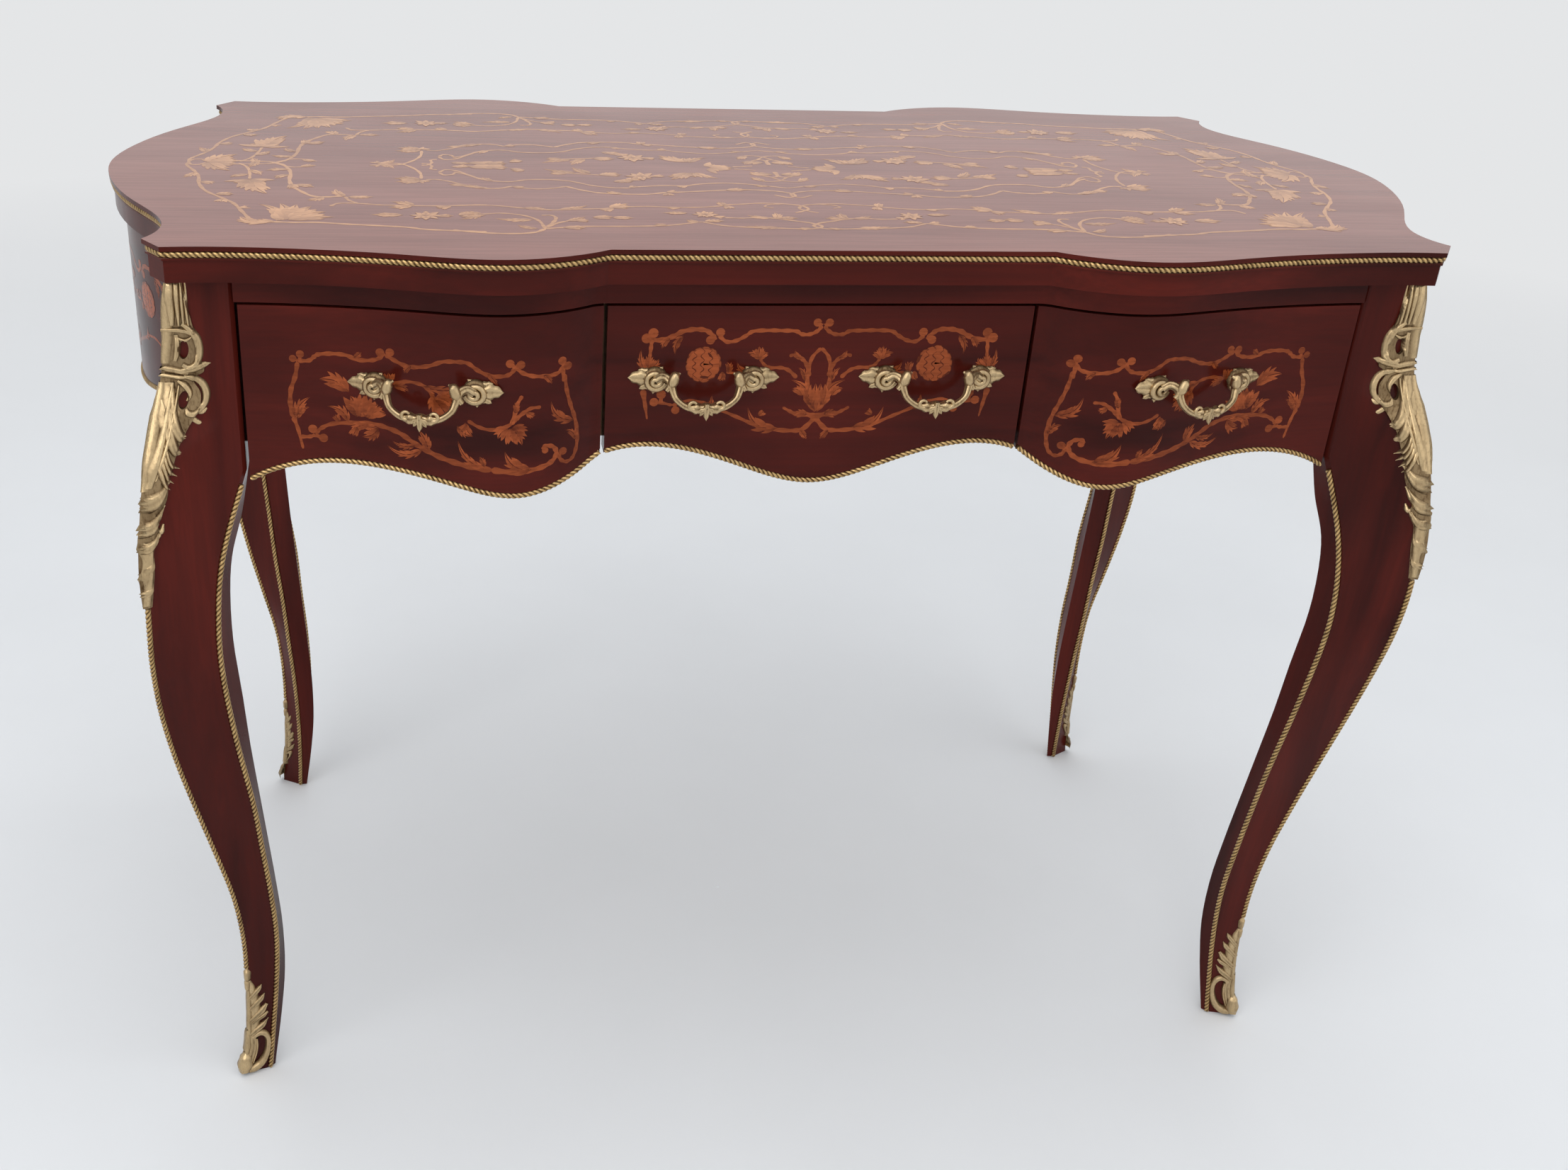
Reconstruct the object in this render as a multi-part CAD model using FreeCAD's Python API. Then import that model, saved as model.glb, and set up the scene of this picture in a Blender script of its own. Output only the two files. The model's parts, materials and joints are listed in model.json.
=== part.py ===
# Serpentine writing desk with three drawers, cabriole legs and gilt mounts.
# Millimetres. Origin on the floor under the middle of the desk, +Z up, +X to the right, front towards -Y.
import FreeCAD
import Part
import math
import os

# Overall size
width = 1116.0
depth = 562.0
height = 786.0

# Top board and its moulded edge
top_thickness = 27.0
lip_height = 3.5
rope_height = 5.5
bead_height = 1.5
groove_depth = 6.0
rope_inset = 0.6
bead_inset = 1.5
fascia_inset = 3.0

# Plan of the top: flat centre bay, swelling bays, canted corners
bay_share = 0.30
bay_setback = 27.0
corner_in = 74.0
corner_back = 28.0
cant_in = 59.0
cant_back = 49.0

# Carcass
front_setback = 21.0
side_setback = 10.0
front_thickness = 20.0
side_thickness = 18.0
rail_height = 20.0
rail_depth = 46.0
divider_thickness = 16.0
divider_drop = 136.0
apron_drop = 153.0

# Legs
leg_in = 96.0
leg_back = 49.0
post_half = 23.0
core_size = 25.0
core_drop = 138.0
edge_flat = 3.0

# Rope edging and castings
trim_height = 4.6
trim_proud = 1.6
trim_deep = 3.0
rope_bulge = 2.4
seat_gap = 0.45

# Drawers
drawer_gap = 2.5
drawer_top_drop = 22.0
bay_gap = 1.5
box_top_drop = 31.0
box_bottom_drop = 113.0
box_wall = 10.0
box_floor = 6.0
box_back_gap = 7.0
runner_width = 16.0
runner_height = 12.0
slide_clearance = 0.3
side_clearance = 3.0

# Handles
handle_half = 59.0
rosette_half = 38.0
rosette_radius = 8.5
rosette_height = 9.0
bail_radius = 3.2
bail_out = 18.0
bail_drop = 18.0
handle_drop = 80.0
center_handle_share = 0.54
side_handle_share = 0.42
bolt_radius = 2.0
bolt_play = 0.25
bolt_head_radius = 4.5
bolt_head_height = 3.0
bolt_head_gap = 0.2

half_width = width / 2
half_depth = depth / 2
underside = height - top_thickness
bay = half_width * bay_share
flat_front = half_depth - bay_setback
corner_x = half_width - corner_in
span = corner_x - bay
leg_x = half_width - leg_in
leg_y = half_depth - leg_back
post_base = underside - apron_drop
post_inner = leg_x - post_half
post_back = leg_y - post_half
core_inner = post_inner - core_size
core_back = post_back - core_size
tall = height * 2

# Heights of the lower edges below the underside of the top, as shares across each bay
side_bay_edge = [(0.0, 142.0), (0.08, 155.0), (0.23, 167.0), (0.40, 160.0),
                 (0.60, 149.0), (0.77, 145.5), (0.90, 151.0), (1.0, 162.5)]
center_bay_edge = [(0.0, 169.0), (0.35, 154.0), (0.70, 137.5), (1.0, 142.0)]
side_apron_edge = [(0.0, 148.0), (0.35, 143.0), (0.62, 133.0), (0.85, 138.0), (1.0, 151.0)]

# Plan of one front quarter, as shares of the swelling bay and millimetres behind the widest depth
front_plan = [(0.0, bay_setback), (0.075, 13.0), (0.245, 0.0),
              (0.485, 13.5), (0.735, 26.5), (1.0, corner_back)]
# Plan of one side quarter, as shares of the half depth and millimetres inside the widest width
side_plan = [(0.0, 0.0), (0.21, 9.5), (0.455, 38.0), (0.70, 68.0)]

# Leg stations below the post: share of the height, then arris, front edge and side edge, each
# outward and forward of the leg's centre line, and the inner corner, equal both ways
leg_stations = [
    (0.0, 24.5, 6.0, -1.5, -1.0, 2.0, -6.5, -5.5),
    (0.083, 17.5, 2.0, -7.5, -4.0, -1.0, -13.0, -13.5),
    (0.167, 14.3, -2.0, -13.5, -4.5, -2.0, -17.5, -19.5),
    (0.25, 13.4, -0.8, -17.0, -2.5, -0.5, -19.0, -20.5),
    (0.333, 17.8, 2.7, -16.0, 2.0, 3.0, -18.0, -18.0),
    (0.417, 29.5, 4.2, -12.3, 5.0, 6.5, -14.0, -14.5),
    (0.5, 41.4, 7.5, -9.0, 10.0, 11.5, -10.5, -11.0),
    (0.583, 51.2, 13.8, -2.3, 13.0, 15.0, -6.0, -7.5),
    (0.667, 56.5, 24.5, 3.2, 16.5, 19.0, -2.0, -5.0),
    (0.75, 56.5, 38.5, 5.8, 20.0, 22.0, 1.5, -2.0),
    (0.817, 54.0, 47.0, 4.5, 18.0, 20.0, 1.5, -2.5),
    (0.875, 52.3, 47.0, 0.5, 12.0, 14.0, -1.5, -6.0),
    (0.933, 49.8, 41.8, -9.0, 6.0, 9.0, -9.5, -15.5),
    (1.0, 44.0, 31.5, -post_half, -1.5, 15.0, -post_half, -post_half)]
# Arris of the post above: share of the post, outward and forward
post_arris = [(0.0, 44.0, 31.5), (0.20, 38.5, 22.0), (0.30, 35.3, 13.5), (0.40, 32.0, 5.0),
              (0.50, 28.5, 0.5), (0.65, 25.0, 0.0), (1.0, 20.0, -0.5)]
post_front = -1.5
post_side = 15.0

# Corner mount: share of its length from the tip up, reach over each face, thickness
mount_tip = 91.0
mount_stations = [
    (0.0, 1.8, 2.5), (0.06, 3.2, 4.0), (0.12, 4.2, 5.0), (0.19, 3.8, 5.5), (0.23, 7.5, 6.5),
    (0.27, 5.0, 6.0), (0.35, 10.5, 7.0), (0.40, 9.5, 7.0), (0.44, 12.0, 7.0), (0.49, 14.0, 7.0),
    (0.55, 19.0, 6.5), (0.60, 24.0, 6.0), (0.65, 22.5, 5.5), (0.69, 16.0, 5.0), (0.715, 23.0, 5.0),
    (0.76, 17.0, 5.0), (0.81, 16.0, 4.5), (0.88, 12.0, 5.0), (0.94, 8.0, 5.0), (1.0, 4.5, 3.5)]
mount_openings = [(0.63, 14.5, 6.5, 3.6), (0.785, 10.5, 7.0, 3.6)]

# Sabot: share of its height from the floor, reach over each face, thickness
sabot_height = 117.0
sabot_stations = [
    (0.0, 11.0, 4.5), (0.06, 15.0, 8.0), (0.16, 19.5, 7.5), (0.27, 18.5, 5.5), (0.35, 12.0, 4.5),
    (0.42, 13.5, 4.0), (0.48, 7.0, 4.0), (0.58, 13.0, 4.5), (0.66, 7.5, 4.0), (0.75, 12.0, 4.0),
    (0.81, 5.5, 3.5), (0.88, 8.5, 3.5), (0.94, 4.0, 3.0), (1.0, 2.0, 2.5)]
sabot_openings = [(0.18, 12.5, 8.5, 4.2)]


def vec(x, y, z=0.0):
    return FreeCAD.Vector(x, y, z)


def along(start, end, distance):
    step = end - start
    step.normalize()
    return start + step * distance


def smooth(points):
    if len(points) == 2:
        return Part.makeLine(points[0], points[1])
    curve = Part.BSplineCurve()
    curve.interpolate(points)
    return curve.toShape()


def blend(stations, share):
    # Smooth value of every column of a station list at a share between its first and last rows
    slopes = []
    for i in range(len(stations)):
        before = stations[max(i - 1, 0)]
        after = stations[min(i + 1, len(stations) - 1)]
        slopes.append([(b - a) / (after[0] - before[0]) for a, b in zip(before, after)])
    last = len(stations) - 2
    row = 0
    while row < last and share > stations[row + 1][0]:
        row += 1
    low, high = stations[row], stations[row + 1]
    length = high[0] - low[0]
    t = (share - low[0]) / length
    values = []
    for column in range(1, len(low)):
        start = low[column] * (1 + 2 * t) * (1 - t) ** 2 + high[column] * t * t * (3 - 2 * t)
        lean = slopes[row][column] * t * (1 - t) ** 2 - slopes[row + 1][column] * t * t * (1 - t)
        values.append(start + lean * length)
    return values


def upright(solid):
    # The same solid with its faces pointing outwards
    if solid.Volume < 0:
        solid.reverse()
    return solid


def skinned(rings):
    # Closed solid with a straight-ruled face between each pair of long smooth edges
    count = len(rings[0])
    edges = [smooth([ring[i] for ring in rings]) for i in range(count)]
    faces = [Part.makeRuledSurface(edges[i], edges[(i + 1) % count]) for i in range(count)]
    for ring in (rings[0], rings[-1]):
        faces.append(Part.Face(Part.makePolygon(ring + ring[:1])))
    shell = Part.Shell(faces)
    shell.sewShape()
    return upright(Part.Solid(shell))


def block(x0, x1, y0, y1, z0, z1):
    corner = vec(min(x0, x1), min(y0, y1), min(z0, z1))
    return Part.makeBox(abs(x1 - x0), abs(y1 - y0), abs(z1 - z0), corner)


def mirror_x(shape):
    return shape.mirror(vec(0, 0), vec(1, 0))


def mirror_y(shape):
    return shape.mirror(vec(0, 0), vec(0, 1))


def offset_points(curve, inset, count=14):
    # Points of a plan curve moved square to it, to the right of its direction
    points = []
    normals = []
    for i in range(count + 1):
        u = curve.FirstParameter + (curve.LastParameter - curve.FirstParameter) * i / count
        direction = curve.tangent(u)[0]
        normal = vec(direction.y, -direction.x)
        normals.append(normal)
        points.append(curve.value(u) + normal * inset)
    return points, normals


def front_curve():
    # Right half of the swelling front, drawn towards +Y from the crease to the corner
    curve = Part.BSplineCurve()
    curve.interpolate([vec(bay + span * share, half_depth - back) for share, back in front_plan])
    return curve


def side_curve():
    # Right side of the top from the back corner to the front corner, back towards +Y
    quarter = [vec(half_width - inside, half_depth * share) for share, inside in side_plan]
    quarter.append(vec(half_width - cant_in, half_depth - cant_back))
    points = list(reversed(quarter)) + [vec(p.x, -p.y) for p in quarter[1:]]
    curve = Part.BSplineCurve()
    curve.interpolate(points)
    return curve


def mitre(corner, normal_a, normal_b, inset):
    return corner + (normal_a + normal_b) * (inset / (1 + normal_a.dot(normal_b)))


def front_path(inset, corner=None):
    # Edges of the whole front line seen from above, set in from the lip, drawn towards +Y
    points, normals = offset_points(front_curve(), inset)
    if corner is not None:
        points[-1] = corner
    right = smooth(points)
    left = mirror_x(right)
    crease = vec(bay, flat_front)
    flat_end = crease + vec(0, -inset)
    edges = [left, Part.makeLine(vec(-flat_end.x, flat_end.y), flat_end), right]
    if inset > 0:
        middle = normals[0] + vec(0, -1)
        middle.normalize()
        fillet = Part.Arc(points[0], crease + middle * inset, flat_end).toShape()
        edges += [fillet, mirror_x(fillet)]
    return edges, points[-1]


def outline_face(inset, level):
    # Closed outline of the top, set in from the lip
    front = front_curve()
    side = side_curve()
    corner = vec(corner_x, half_depth - corner_back)
    cant = vec(half_width - cant_in, half_depth - cant_back)
    step = cant - corner
    step.normalize()
    cant_normal = vec(step.y, -step.x)
    front_normal = offset_points(front, 0)[1][-1]
    side_points, side_normals = offset_points(side, inset, 24)
    front_end = mitre(corner, front_normal, cant_normal, inset)
    side_end = mitre(cant, cant_normal, side_normals[0], inset)
    side_points[0] = side_end
    side_points[-1] = vec(side_end.x, -side_end.y)
    path = front_path(inset, front_end)[0]
    right = smooth(side_points)
    edges = [right, mirror_x(right)] + path + [mirror_y(edge) for edge in path]
    for sx in (1, -1):
        for sy in (1, -1):
            start = vec(sx * front_end.x, sy * front_end.y)
            edges.append(Part.makeLine(start, vec(sx * side_end.x, sy * side_end.y)))
    wire = Part.Wire(Part.__sortEdges__(edges))
    face = Part.Face(wire)
    face.translate(vec(0, 0, level))
    return face


def slab(inset, low, high):
    return upright(outline_face(inset, low).extrude(vec(0, 0, high - low)))


def front_band(outer, inner):
    # Upright wall along the whole front between two set-backs, front towards -Y
    near, near_end = front_path(outer)
    far, far_end = front_path(inner)
    edges = near + far
    for sx in (1, -1):
        edges.append(Part.makeLine(vec(sx * near_end.x, near_end.y), vec(sx * far_end.x, far_end.y)))
    face = Part.Face(Part.Wire(Part.__sortEdges__(edges)))
    return upright(mirror_y(face.extrude(vec(0, 0, tall))))


def behind_front(inset):
    # Everything behind a set-back front line, front towards -Y
    path, end = front_path(inset)
    back = vec(end.x, -half_depth)
    edges = path + [Part.makeLine(end, back), Part.makeLine(back, vec(-back.x, back.y))]
    edges.append(Part.makeLine(vec(-end.x, end.y), vec(-back.x, back.y)))
    face = Part.Face(Part.Wire(Part.__sortEdges__(edges)))
    return upright(mirror_y(face.extrude(vec(0, 0, tall))))


def side_band(outer, inner):
    # Upright wall along the right side between two set-backs
    near = offset_points(side_curve(), outer, 24)[0]
    far = offset_points(side_curve(), inner, 24)[0]
    edges = [smooth(near), smooth(far), Part.makeLine(near[0], far[0]), Part.makeLine(near[-1], far[-1])]
    face = Part.Face(Part.Wire(Part.__sortEdges__(edges)))
    return upright(face.extrude(vec(0, 0, tall)))


def lower_edge(bays):
    # Lower edge of a panel from its left end to its right end: position along it and height
    points = []
    for start, end, stations in bays:
        for share, drop in stations:
            point = (start + (end - start) * share, underside - drop)
            if not points or abs(point[0] - points[-1][0]) > 0.01:
                points.append(point)
    return points


def elevation(edge, rise, top=None):
    # Prism seen from the front: from a lower edge up to a parallel edge, or up to a level top
    reach = half_width + half_depth
    low = [vec(x, -reach, z) for x, z in edge]
    if top is None:
        high = [p + vec(0, 0, rise) for p in low]
    else:
        high = [vec(low[0].x, low[0].y, top), vec(low[-1].x, low[-1].y, top)]
    edges = [smooth(low), smooth(high), Part.makeLine(low[0], high[0]), Part.makeLine(low[-1], high[-1])]
    face = Part.Face(Part.Wire(Part.__sortEdges__(edges)))
    return upright(face.extrude(vec(0, reach, 0)))


def leg_corners(level):
    # Arris, front edge, inner corner and side edge of a leg at a level
    if level >= post_base:
        arris = blend(post_arris, (level - post_base) / (underside - post_base))
        front = [-post_half, post_front]
        side = [post_side, -post_half]
        inner = -post_half
    else:
        row = blend(leg_stations, level / post_base)
        arris, front, side, inner = row[0:2], row[2:4], row[4:6], row[6]
    place = [arris, front, [inner, inner], side]
    return [vec(leg_x + p[0], -leg_y - p[1], level) for p in place]


def leg_ring(level):
    arris, front, inner, side = leg_corners(level)
    return [inner, along(front, inner, edge_flat), along(front, arris, edge_flat),
            along(arris, front, edge_flat), along(arris, side, edge_flat),
            along(side, arris, edge_flat), along(side, inner, edge_flat)]


def leg_levels(low, high, count):
    return [low + (high - low) * i / count for i in range(count + 1)]


def make_leg():
    cabriole = skinned([leg_ring(level) for level in leg_levels(0, post_base, 26)])
    post = skinned([leg_ring(level) for level in leg_levels(post_base, underside, 14)])
    core = block(core_inner, leg_x - 10, -core_back, -post_back, underside - core_drop, underside)
    return cabriole.fuse([post, core]).removeSplitter()


def rope_ring(start, end, outward):
    # Rounded bead standing on the flat between two edge points
    across = end - start
    outward.normalize()
    start = start + outward * (seat_gap * 0.6)
    end = end + outward * (seat_gap * 0.6)
    low = outward * (rope_bulge * 0.6)
    high = outward * rope_bulge
    return [start, start + low, start + across * 0.28 + high, start + across * 0.72 + high, end + low, end]


def leg_rope(low, high, first, second, corner):
    rings = []
    for level in leg_levels(low, high, 22):
        ring = leg_ring(level)
        tip = leg_corners(level)[corner]
        middle = (ring[first] + ring[second]) * 0.5
        rings.append(rope_ring(ring[first], ring[second], tip - middle))
    return skinned(rings)


def make_leg_trim():
    # Rope edging on the front edge, the side edge and the bare stretch of the arris
    arris = leg_rope(sabot_height + 0.5, post_base - mount_tip - 0.5, 3, 4, 0)
    front = leg_rope(0, post_base - 10, 1, 2, 1)
    side = leg_rope(0, post_base - 4, 5, 6, 3)
    return Part.makeCompound([arris, front, side])


def casting_ring(level, reach, thickness):
    # Section of a casting that wraps the arris and lies on both outer faces of the leg
    arris, front, inner, side = leg_corners(level)
    ring = leg_ring(level)
    tangent_f = front - arris
    tangent_s = side - arris
    tangent_f.normalize()
    tangent_s.normalize()
    normal_f = vec(-tangent_f.y, tangent_f.x)
    normal_s = vec(tangent_s.y, -tangent_s.x)
    outward = normal_f + normal_s
    outward.normalize()
    reach_f = edge_flat + min(reach, 0.6 * front.distanceToPoint(arris))
    reach_s = edge_flat + min(reach, 0.6 * side.distanceToPoint(arris))
    foot_f = arris + tangent_f * reach_f + normal_f * seat_gap
    foot_s = arris + tangent_s * reach_s + normal_s * seat_gap
    crest = arris + outward * thickness
    shoulder_f = arris + tangent_f * (reach_f * 0.5) + normal_f * (thickness * 0.75)
    shoulder_s = arris + tangent_s * (reach_s * 0.5) + normal_s * (thickness * 0.75)
    return [foot_f, ring[3] + outward * seat_gap * 2, ring[4] + outward * seat_gap * 2, foot_s,
            foot_s + normal_s * (thickness * 0.3), shoulder_s, crest, shoulder_f,
            foot_f + normal_f * (thickness * 0.3)]


def casting_opening(level, inset, half_tall, half_wide, use_side):
    # Oval tool that pierces one wing of a casting square to the leg face
    arris, front, inner, side = leg_corners(level)
    edge = side if use_side else front
    tangent = edge - arris
    tangent.normalize()
    normal = vec(tangent.y, -tangent.x) if use_side else vec(-tangent.y, tangent.x)
    upward = leg_corners(level + 5)[0] - leg_corners(level - 5)[0]
    upward = upward - normal * upward.dot(normal)
    upward.normalize()
    center = arris + tangent * inset - normal * 4
    oval = Part.Ellipse(center + upward * half_tall, center + upward.cross(normal) * half_wide, center)
    face = Part.Face(Part.Wire([oval.toShape()]))
    return upright(face.extrude(normal * 26))


def make_casting(low, high, stations, openings):
    rings = []
    for i in range(len(stations) * 2 - 1):
        before = stations[i // 2]
        after = stations[(i + 1) // 2]
        share = (before[0] + after[0]) / 2
        reach, thickness = blend(stations, share)
        rings.append(casting_ring(low + (high - low) * share, reach, thickness))
    casting = skinned(rings)
    for share, inset, half_tall, half_wide in openings:
        for use_side in (False, True):
            level = low + (high - low) * share
            casting = casting.cut(casting_opening(level, inset, half_tall, half_wide, use_side))
    return casting


def knuckled_bar(path, reference, radius, stations=28, sides=8):
    # Round bar along a smooth path, swelling to a knuckle in the middle
    rings = []
    for i in range(stations + 1):
        share = i / stations
        u = path.FirstParameter + (path.LastParameter - path.FirstParameter) * share
        swell = radius * (1 + 0.65 * math.exp(-((share - 0.5) / 0.045) ** 2))
        forward = path.tangent(u)[0]
        across = forward.cross(reference)
        across.normalize()
        over = across.cross(forward)
        angles = [2 * math.pi * k / sides for k in range(sides)]
        rings.append([path.value(u) + (across * math.cos(a) + over * math.sin(a)) * swell for a in angles])
    return skinned(rings)


def make_handle(center, direction):
    # Drop handle cast in one piece: scrolled rosettes with leaf tips, drooping bail, knuckle in the middle
    outward = vec(direction.y, -direction.x)
    up = vec(0, 0, 1)

    def at(u, out, rise):
        return center + direction * u + outward * out + up * rise

    half = [at(rosette_half, 6, -1),
            at(rosette_half * 0.74, bail_out * 0.65, -bail_drop * 0.2),
            at(rosette_half * 0.56, bail_out * 0.92, -bail_drop * 0.62),
            at(rosette_half * 0.33, bail_out, -bail_drop * 0.92)]
    other = [p - direction * (2 * (p - center).dot(direction)) for p in half]
    path = Part.BSplineCurve()
    path.interpolate(half + [at(0, bail_out, -bail_drop)] + list(reversed(other)))
    pieces = [knuckled_bar(path, outward * bail_out + up * bail_drop, bail_radius)]
    for sign in (1, -1):
        base = at(sign * rosette_half, -2, 0)
        pieces.append(Part.makeCylinder(rosette_radius, rosette_height + 2, base, outward))
        leaf = [at(sign * (rosette_half - 2), -2, 7), at(sign * (rosette_half + 9), -2, 7.5),
                at(sign * (rosette_half + 15), -2, 3.2), at(sign * handle_half, -2, 1.2),
                at(sign * (handle_half - 4), -2, -2.2), at(sign * (rosette_half + 12), -2, -4.5),
                at(sign * (rosette_half + 5), -2, -8.5)]
        pieces.append(upright(Part.Face(Part.makePolygon(leaf + leaf[:1])).extrude(outward * 7.5)))
        stub = at(sign * rosette_half * 0.66, bail_out * 0.62, -1.5)
        pieces.append(Part.makeCylinder(bail_radius, 8.5, stub, up))
    return pieces[0].fuse(pieces[1:]).removeSplitter()


def make_bolt(center, direction, thickness):
    # Bolt through the drawer front into a rosette, head on the inside; its hole is a little wider
    inward = vec(-direction.y, direction.x)
    start = center - inward * 0.5
    shank = Part.makeCylinder(bolt_radius, thickness + bolt_head_gap * 2, center, inward)
    head_start = center + inward * (thickness + bolt_head_gap)
    head = Part.makeCylinder(bolt_head_radius, bolt_head_height, head_start, inward)
    hole = Part.makeCylinder(bolt_radius + bolt_play, thickness + 20, start - inward * 8, inward)
    return shank.fuse(head), hole


def front_place(x):
    # Point of the drawer front line above x and the direction along it, towards +X
    points = offset_points(front_curve(), front_setback, 80)[0]
    if abs(x) <= bay:
        return vec(x, -(flat_front - front_setback)), vec(1, 0)
    index = min(range(1, len(points) - 1), key=lambda i: abs(points[i].x - abs(x)))
    here = points[index]
    step = points[index + 1] - points[index - 1]
    step.normalize()
    sign = 1 if x > 0 else -1
    return vec(sign * here.x, -here.y), vec(step.x, -sign * step.y)


parts = {}

# Top board with its moulded edge, and the rope let into the edge
rope_top = height - lip_height
rope_bottom = rope_top - rope_height
bead_bottom = rope_bottom - bead_height
groove = slab(groove_depth, rope_bottom, rope_top)
board = slab(fascia_inset, underside, bead_bottom).fuse(slab(bead_inset, bead_bottom, rope_bottom))
parts["top_board"] = board.fuse([groove, slab(0, rope_top, height)])
parts["top_rope_trim"] = slab(rope_inset, rope_bottom, rope_top).cut(groove)

# Legs with their edging, corner mounts and sabots
leg = make_leg()
leg_pieces = {
    "leg": leg,
    "leg_rope_trim": make_leg_trim(),
    "corner_mount": make_casting(post_base - mount_tip, underside - 3, mount_stations, mount_openings),
    "sabot": make_casting(0, sabot_height, sabot_stations, sabot_openings)}
for name, shape in leg_pieces.items():
    parts["front_right_" + name] = shape
    parts["front_left_" + name] = mirror_x(shape)
    parts["back_right_" + name] = mirror_y(shape)
    parts["back_left_" + name] = mirror_y(mirror_x(shape))

# Front rail above the drawers
wall = front_band(front_setback, front_setback + front_thickness)
trim_wall = front_band(front_setback - trim_proud, front_setback + trim_deep)
rail_back = -(flat_front - front_setback - rail_depth)
rail = behind_front(front_setback).common(
    block(-post_inner, post_inner, -half_depth, rail_back, underside - rail_height, underside))
rail = rail.cut([leg, mirror_x(leg)])
parts["front_rail"] = rail

# Serpentine back apron, drawn as a front and turned round
right_half = lower_edge([(0, bay, center_bay_edge), (bay, post_inner, side_bay_edge)])
whole_edge = [(-x, z) for x, z in reversed(right_half[1:])] + right_half
back_trim = trim_wall.common(elevation(whole_edge, trim_height))
back_apron = wall.common(elevation(whole_edge, 0, underside)).cut(back_trim)
parts["back_apron"] = mirror_y(back_apron)
parts["back_apron_rope_trim"] = mirror_y(back_trim)

# Bowed side aprons
apron_edge = lower_edge([(0, post_back, side_apron_edge)])
apron_edge = [(-x, z) for x, z in reversed(apron_edge[1:])] + apron_edge
apron_view = elevation(apron_edge, 0, underside)
apron_view_trim = elevation(apron_edge, trim_height)
turn = FreeCAD.Rotation(vec(0, 0, 1), 90)
for view in (apron_view, apron_view_trim):
    view.Placement = FreeCAD.Placement(vec(0, 0), turn)
side_wall = side_band(side_setback, side_setback + side_thickness)
side_trim_wall = side_band(side_setback - trim_proud, side_setback + trim_deep)
side_trim = side_trim_wall.common(apron_view_trim)
side_apron = side_wall.common(apron_view).cut(side_trim)
parts["right_side_apron"] = side_apron
parts["left_side_apron"] = mirror_x(side_apron)
parts["right_side_apron_rope_trim"] = side_trim
parts["left_side_apron_rope_trim"] = mirror_x(side_trim)

# Dividers and runners that carry the drawers
box_bottom = underside - box_bottom_drop
box_top = underside - box_top_drop
divider_front = -(flat_front - front_setback - front_thickness - side_clearance)
divider_back = flat_front - front_setback - front_thickness
half_divider = divider_thickness / 2
divider = block(bay - half_divider, bay + half_divider, divider_front, divider_back,
                underside - divider_drop, underside)
divider = divider.cut([rail, parts["back_apron"]])
parts["right_divider"] = divider
parts["left_divider"] = mirror_x(divider)
runner_top = box_bottom - slide_clearance
outer_runner = block(core_inner - runner_width + 4, core_inner + 4, -core_back, core_back,
                     runner_top - runner_height, runner_top)
inner_runner = block(bay + half_divider, bay + half_divider + runner_width, divider_front + 5, core_back,
                     runner_top - runner_height, runner_top)
center_runner = block(bay - half_divider - runner_width, bay - half_divider, divider_front + 5, core_back,
                      runner_top - runner_height, runner_top)
runners = {"outer_runner": outer_runner, "inner_runner": inner_runner, "center_runner": center_runner}
for name, shape in runners.items():
    parts["right_" + name] = shape
    parts["left_" + name] = mirror_x(shape)

# Drawers: shaped front with rope edging, box behind it, cast handles and their bolts
side_box = (bay + half_divider + side_clearance, core_inner - side_clearance)
center_box = (-bay + half_divider + side_clearance, bay - half_divider - side_clearance)
bay_end = bay - bay_gap
outer_end = post_inner - drawer_gap
right_edge = lower_edge([(bay + bay_gap, outer_end, side_bay_edge)])
center_half = lower_edge([(0, bay_end, center_bay_edge)])
center_edge = [(-x, z) for x, z in reversed(center_half[1:])] + center_half
center_handle = bay * center_handle_share
side_handle = bay + span * side_handle_share
front_top = underside - drawer_top_drop
inside = behind_front(front_setback + front_thickness)
box_back = core_back - box_back_gap
handle_level = underside - handle_drop


def make_drawer(edge, box, handles):
    # Pieces of one drawer: handles are named by their place along the front
    trim = trim_wall.common(elevation(edge, trim_height))
    front = wall.common(elevation(edge, 0, front_top)).cut(trim)
    pieces = {}
    bolts = []
    for suffix, x in handles.items():
        point, direction = front_place(x)
        center = point + vec(0, 0, handle_level)
        handle = make_handle(center, direction).cut(wall)
        for sign in (1, -1):
            seat, along_front = front_place((center + direction * (sign * rosette_half)).x)
            bolt, hole = make_bolt(seat + vec(0, 0, handle_level), along_front, front_thickness)
            front = front.cut(hole)
            handle = handle.cut(hole)
            bolts.append(bolt)
        pieces[suffix] = handle
    left, right = box
    inner_left = left + box_wall
    inner_right = right - box_wall
    floor = box_bottom + 2
    pieces["front"] = front
    pieces["rope_trim"] = trim
    pieces["bolts"] = Part.makeCompound(bolts)
    left_wall = block(left, inner_left, -half_depth, box_back, box_bottom, box_top)
    right_wall = block(inner_right, right, -half_depth, box_back, box_bottom, box_top)
    pieces["left_side"] = left_wall.common(inside)
    pieces["right_side"] = right_wall.common(inside)
    pieces["back"] = block(inner_left, inner_right, box_back - box_wall, box_back, box_bottom, box_top)
    bottom = block(inner_left, inner_right, -half_depth, box_back - box_wall, floor, floor + box_floor)
    pieces["bottom"] = bottom.common(inside)
    return pieces


center_handles = {"left_handle": -center_handle, "right_handle": center_handle}
for name, shape in make_drawer(center_edge, center_box, center_handles).items():
    parts["center_drawer_" + name] = shape
mirrored = {"left_side": "right_side", "right_side": "left_side"}
for name, shape in make_drawer(right_edge, side_box, {"handle": side_handle}).items():
    parts["right_drawer_" + name] = shape
    parts["left_drawer_" + mirrored.get(name, name)] = mirror_x(shape)

os.makedirs("parts", exist_ok=True)
for name, shape in parts.items():
    shape.exportStep("parts/" + name + ".step")
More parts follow.
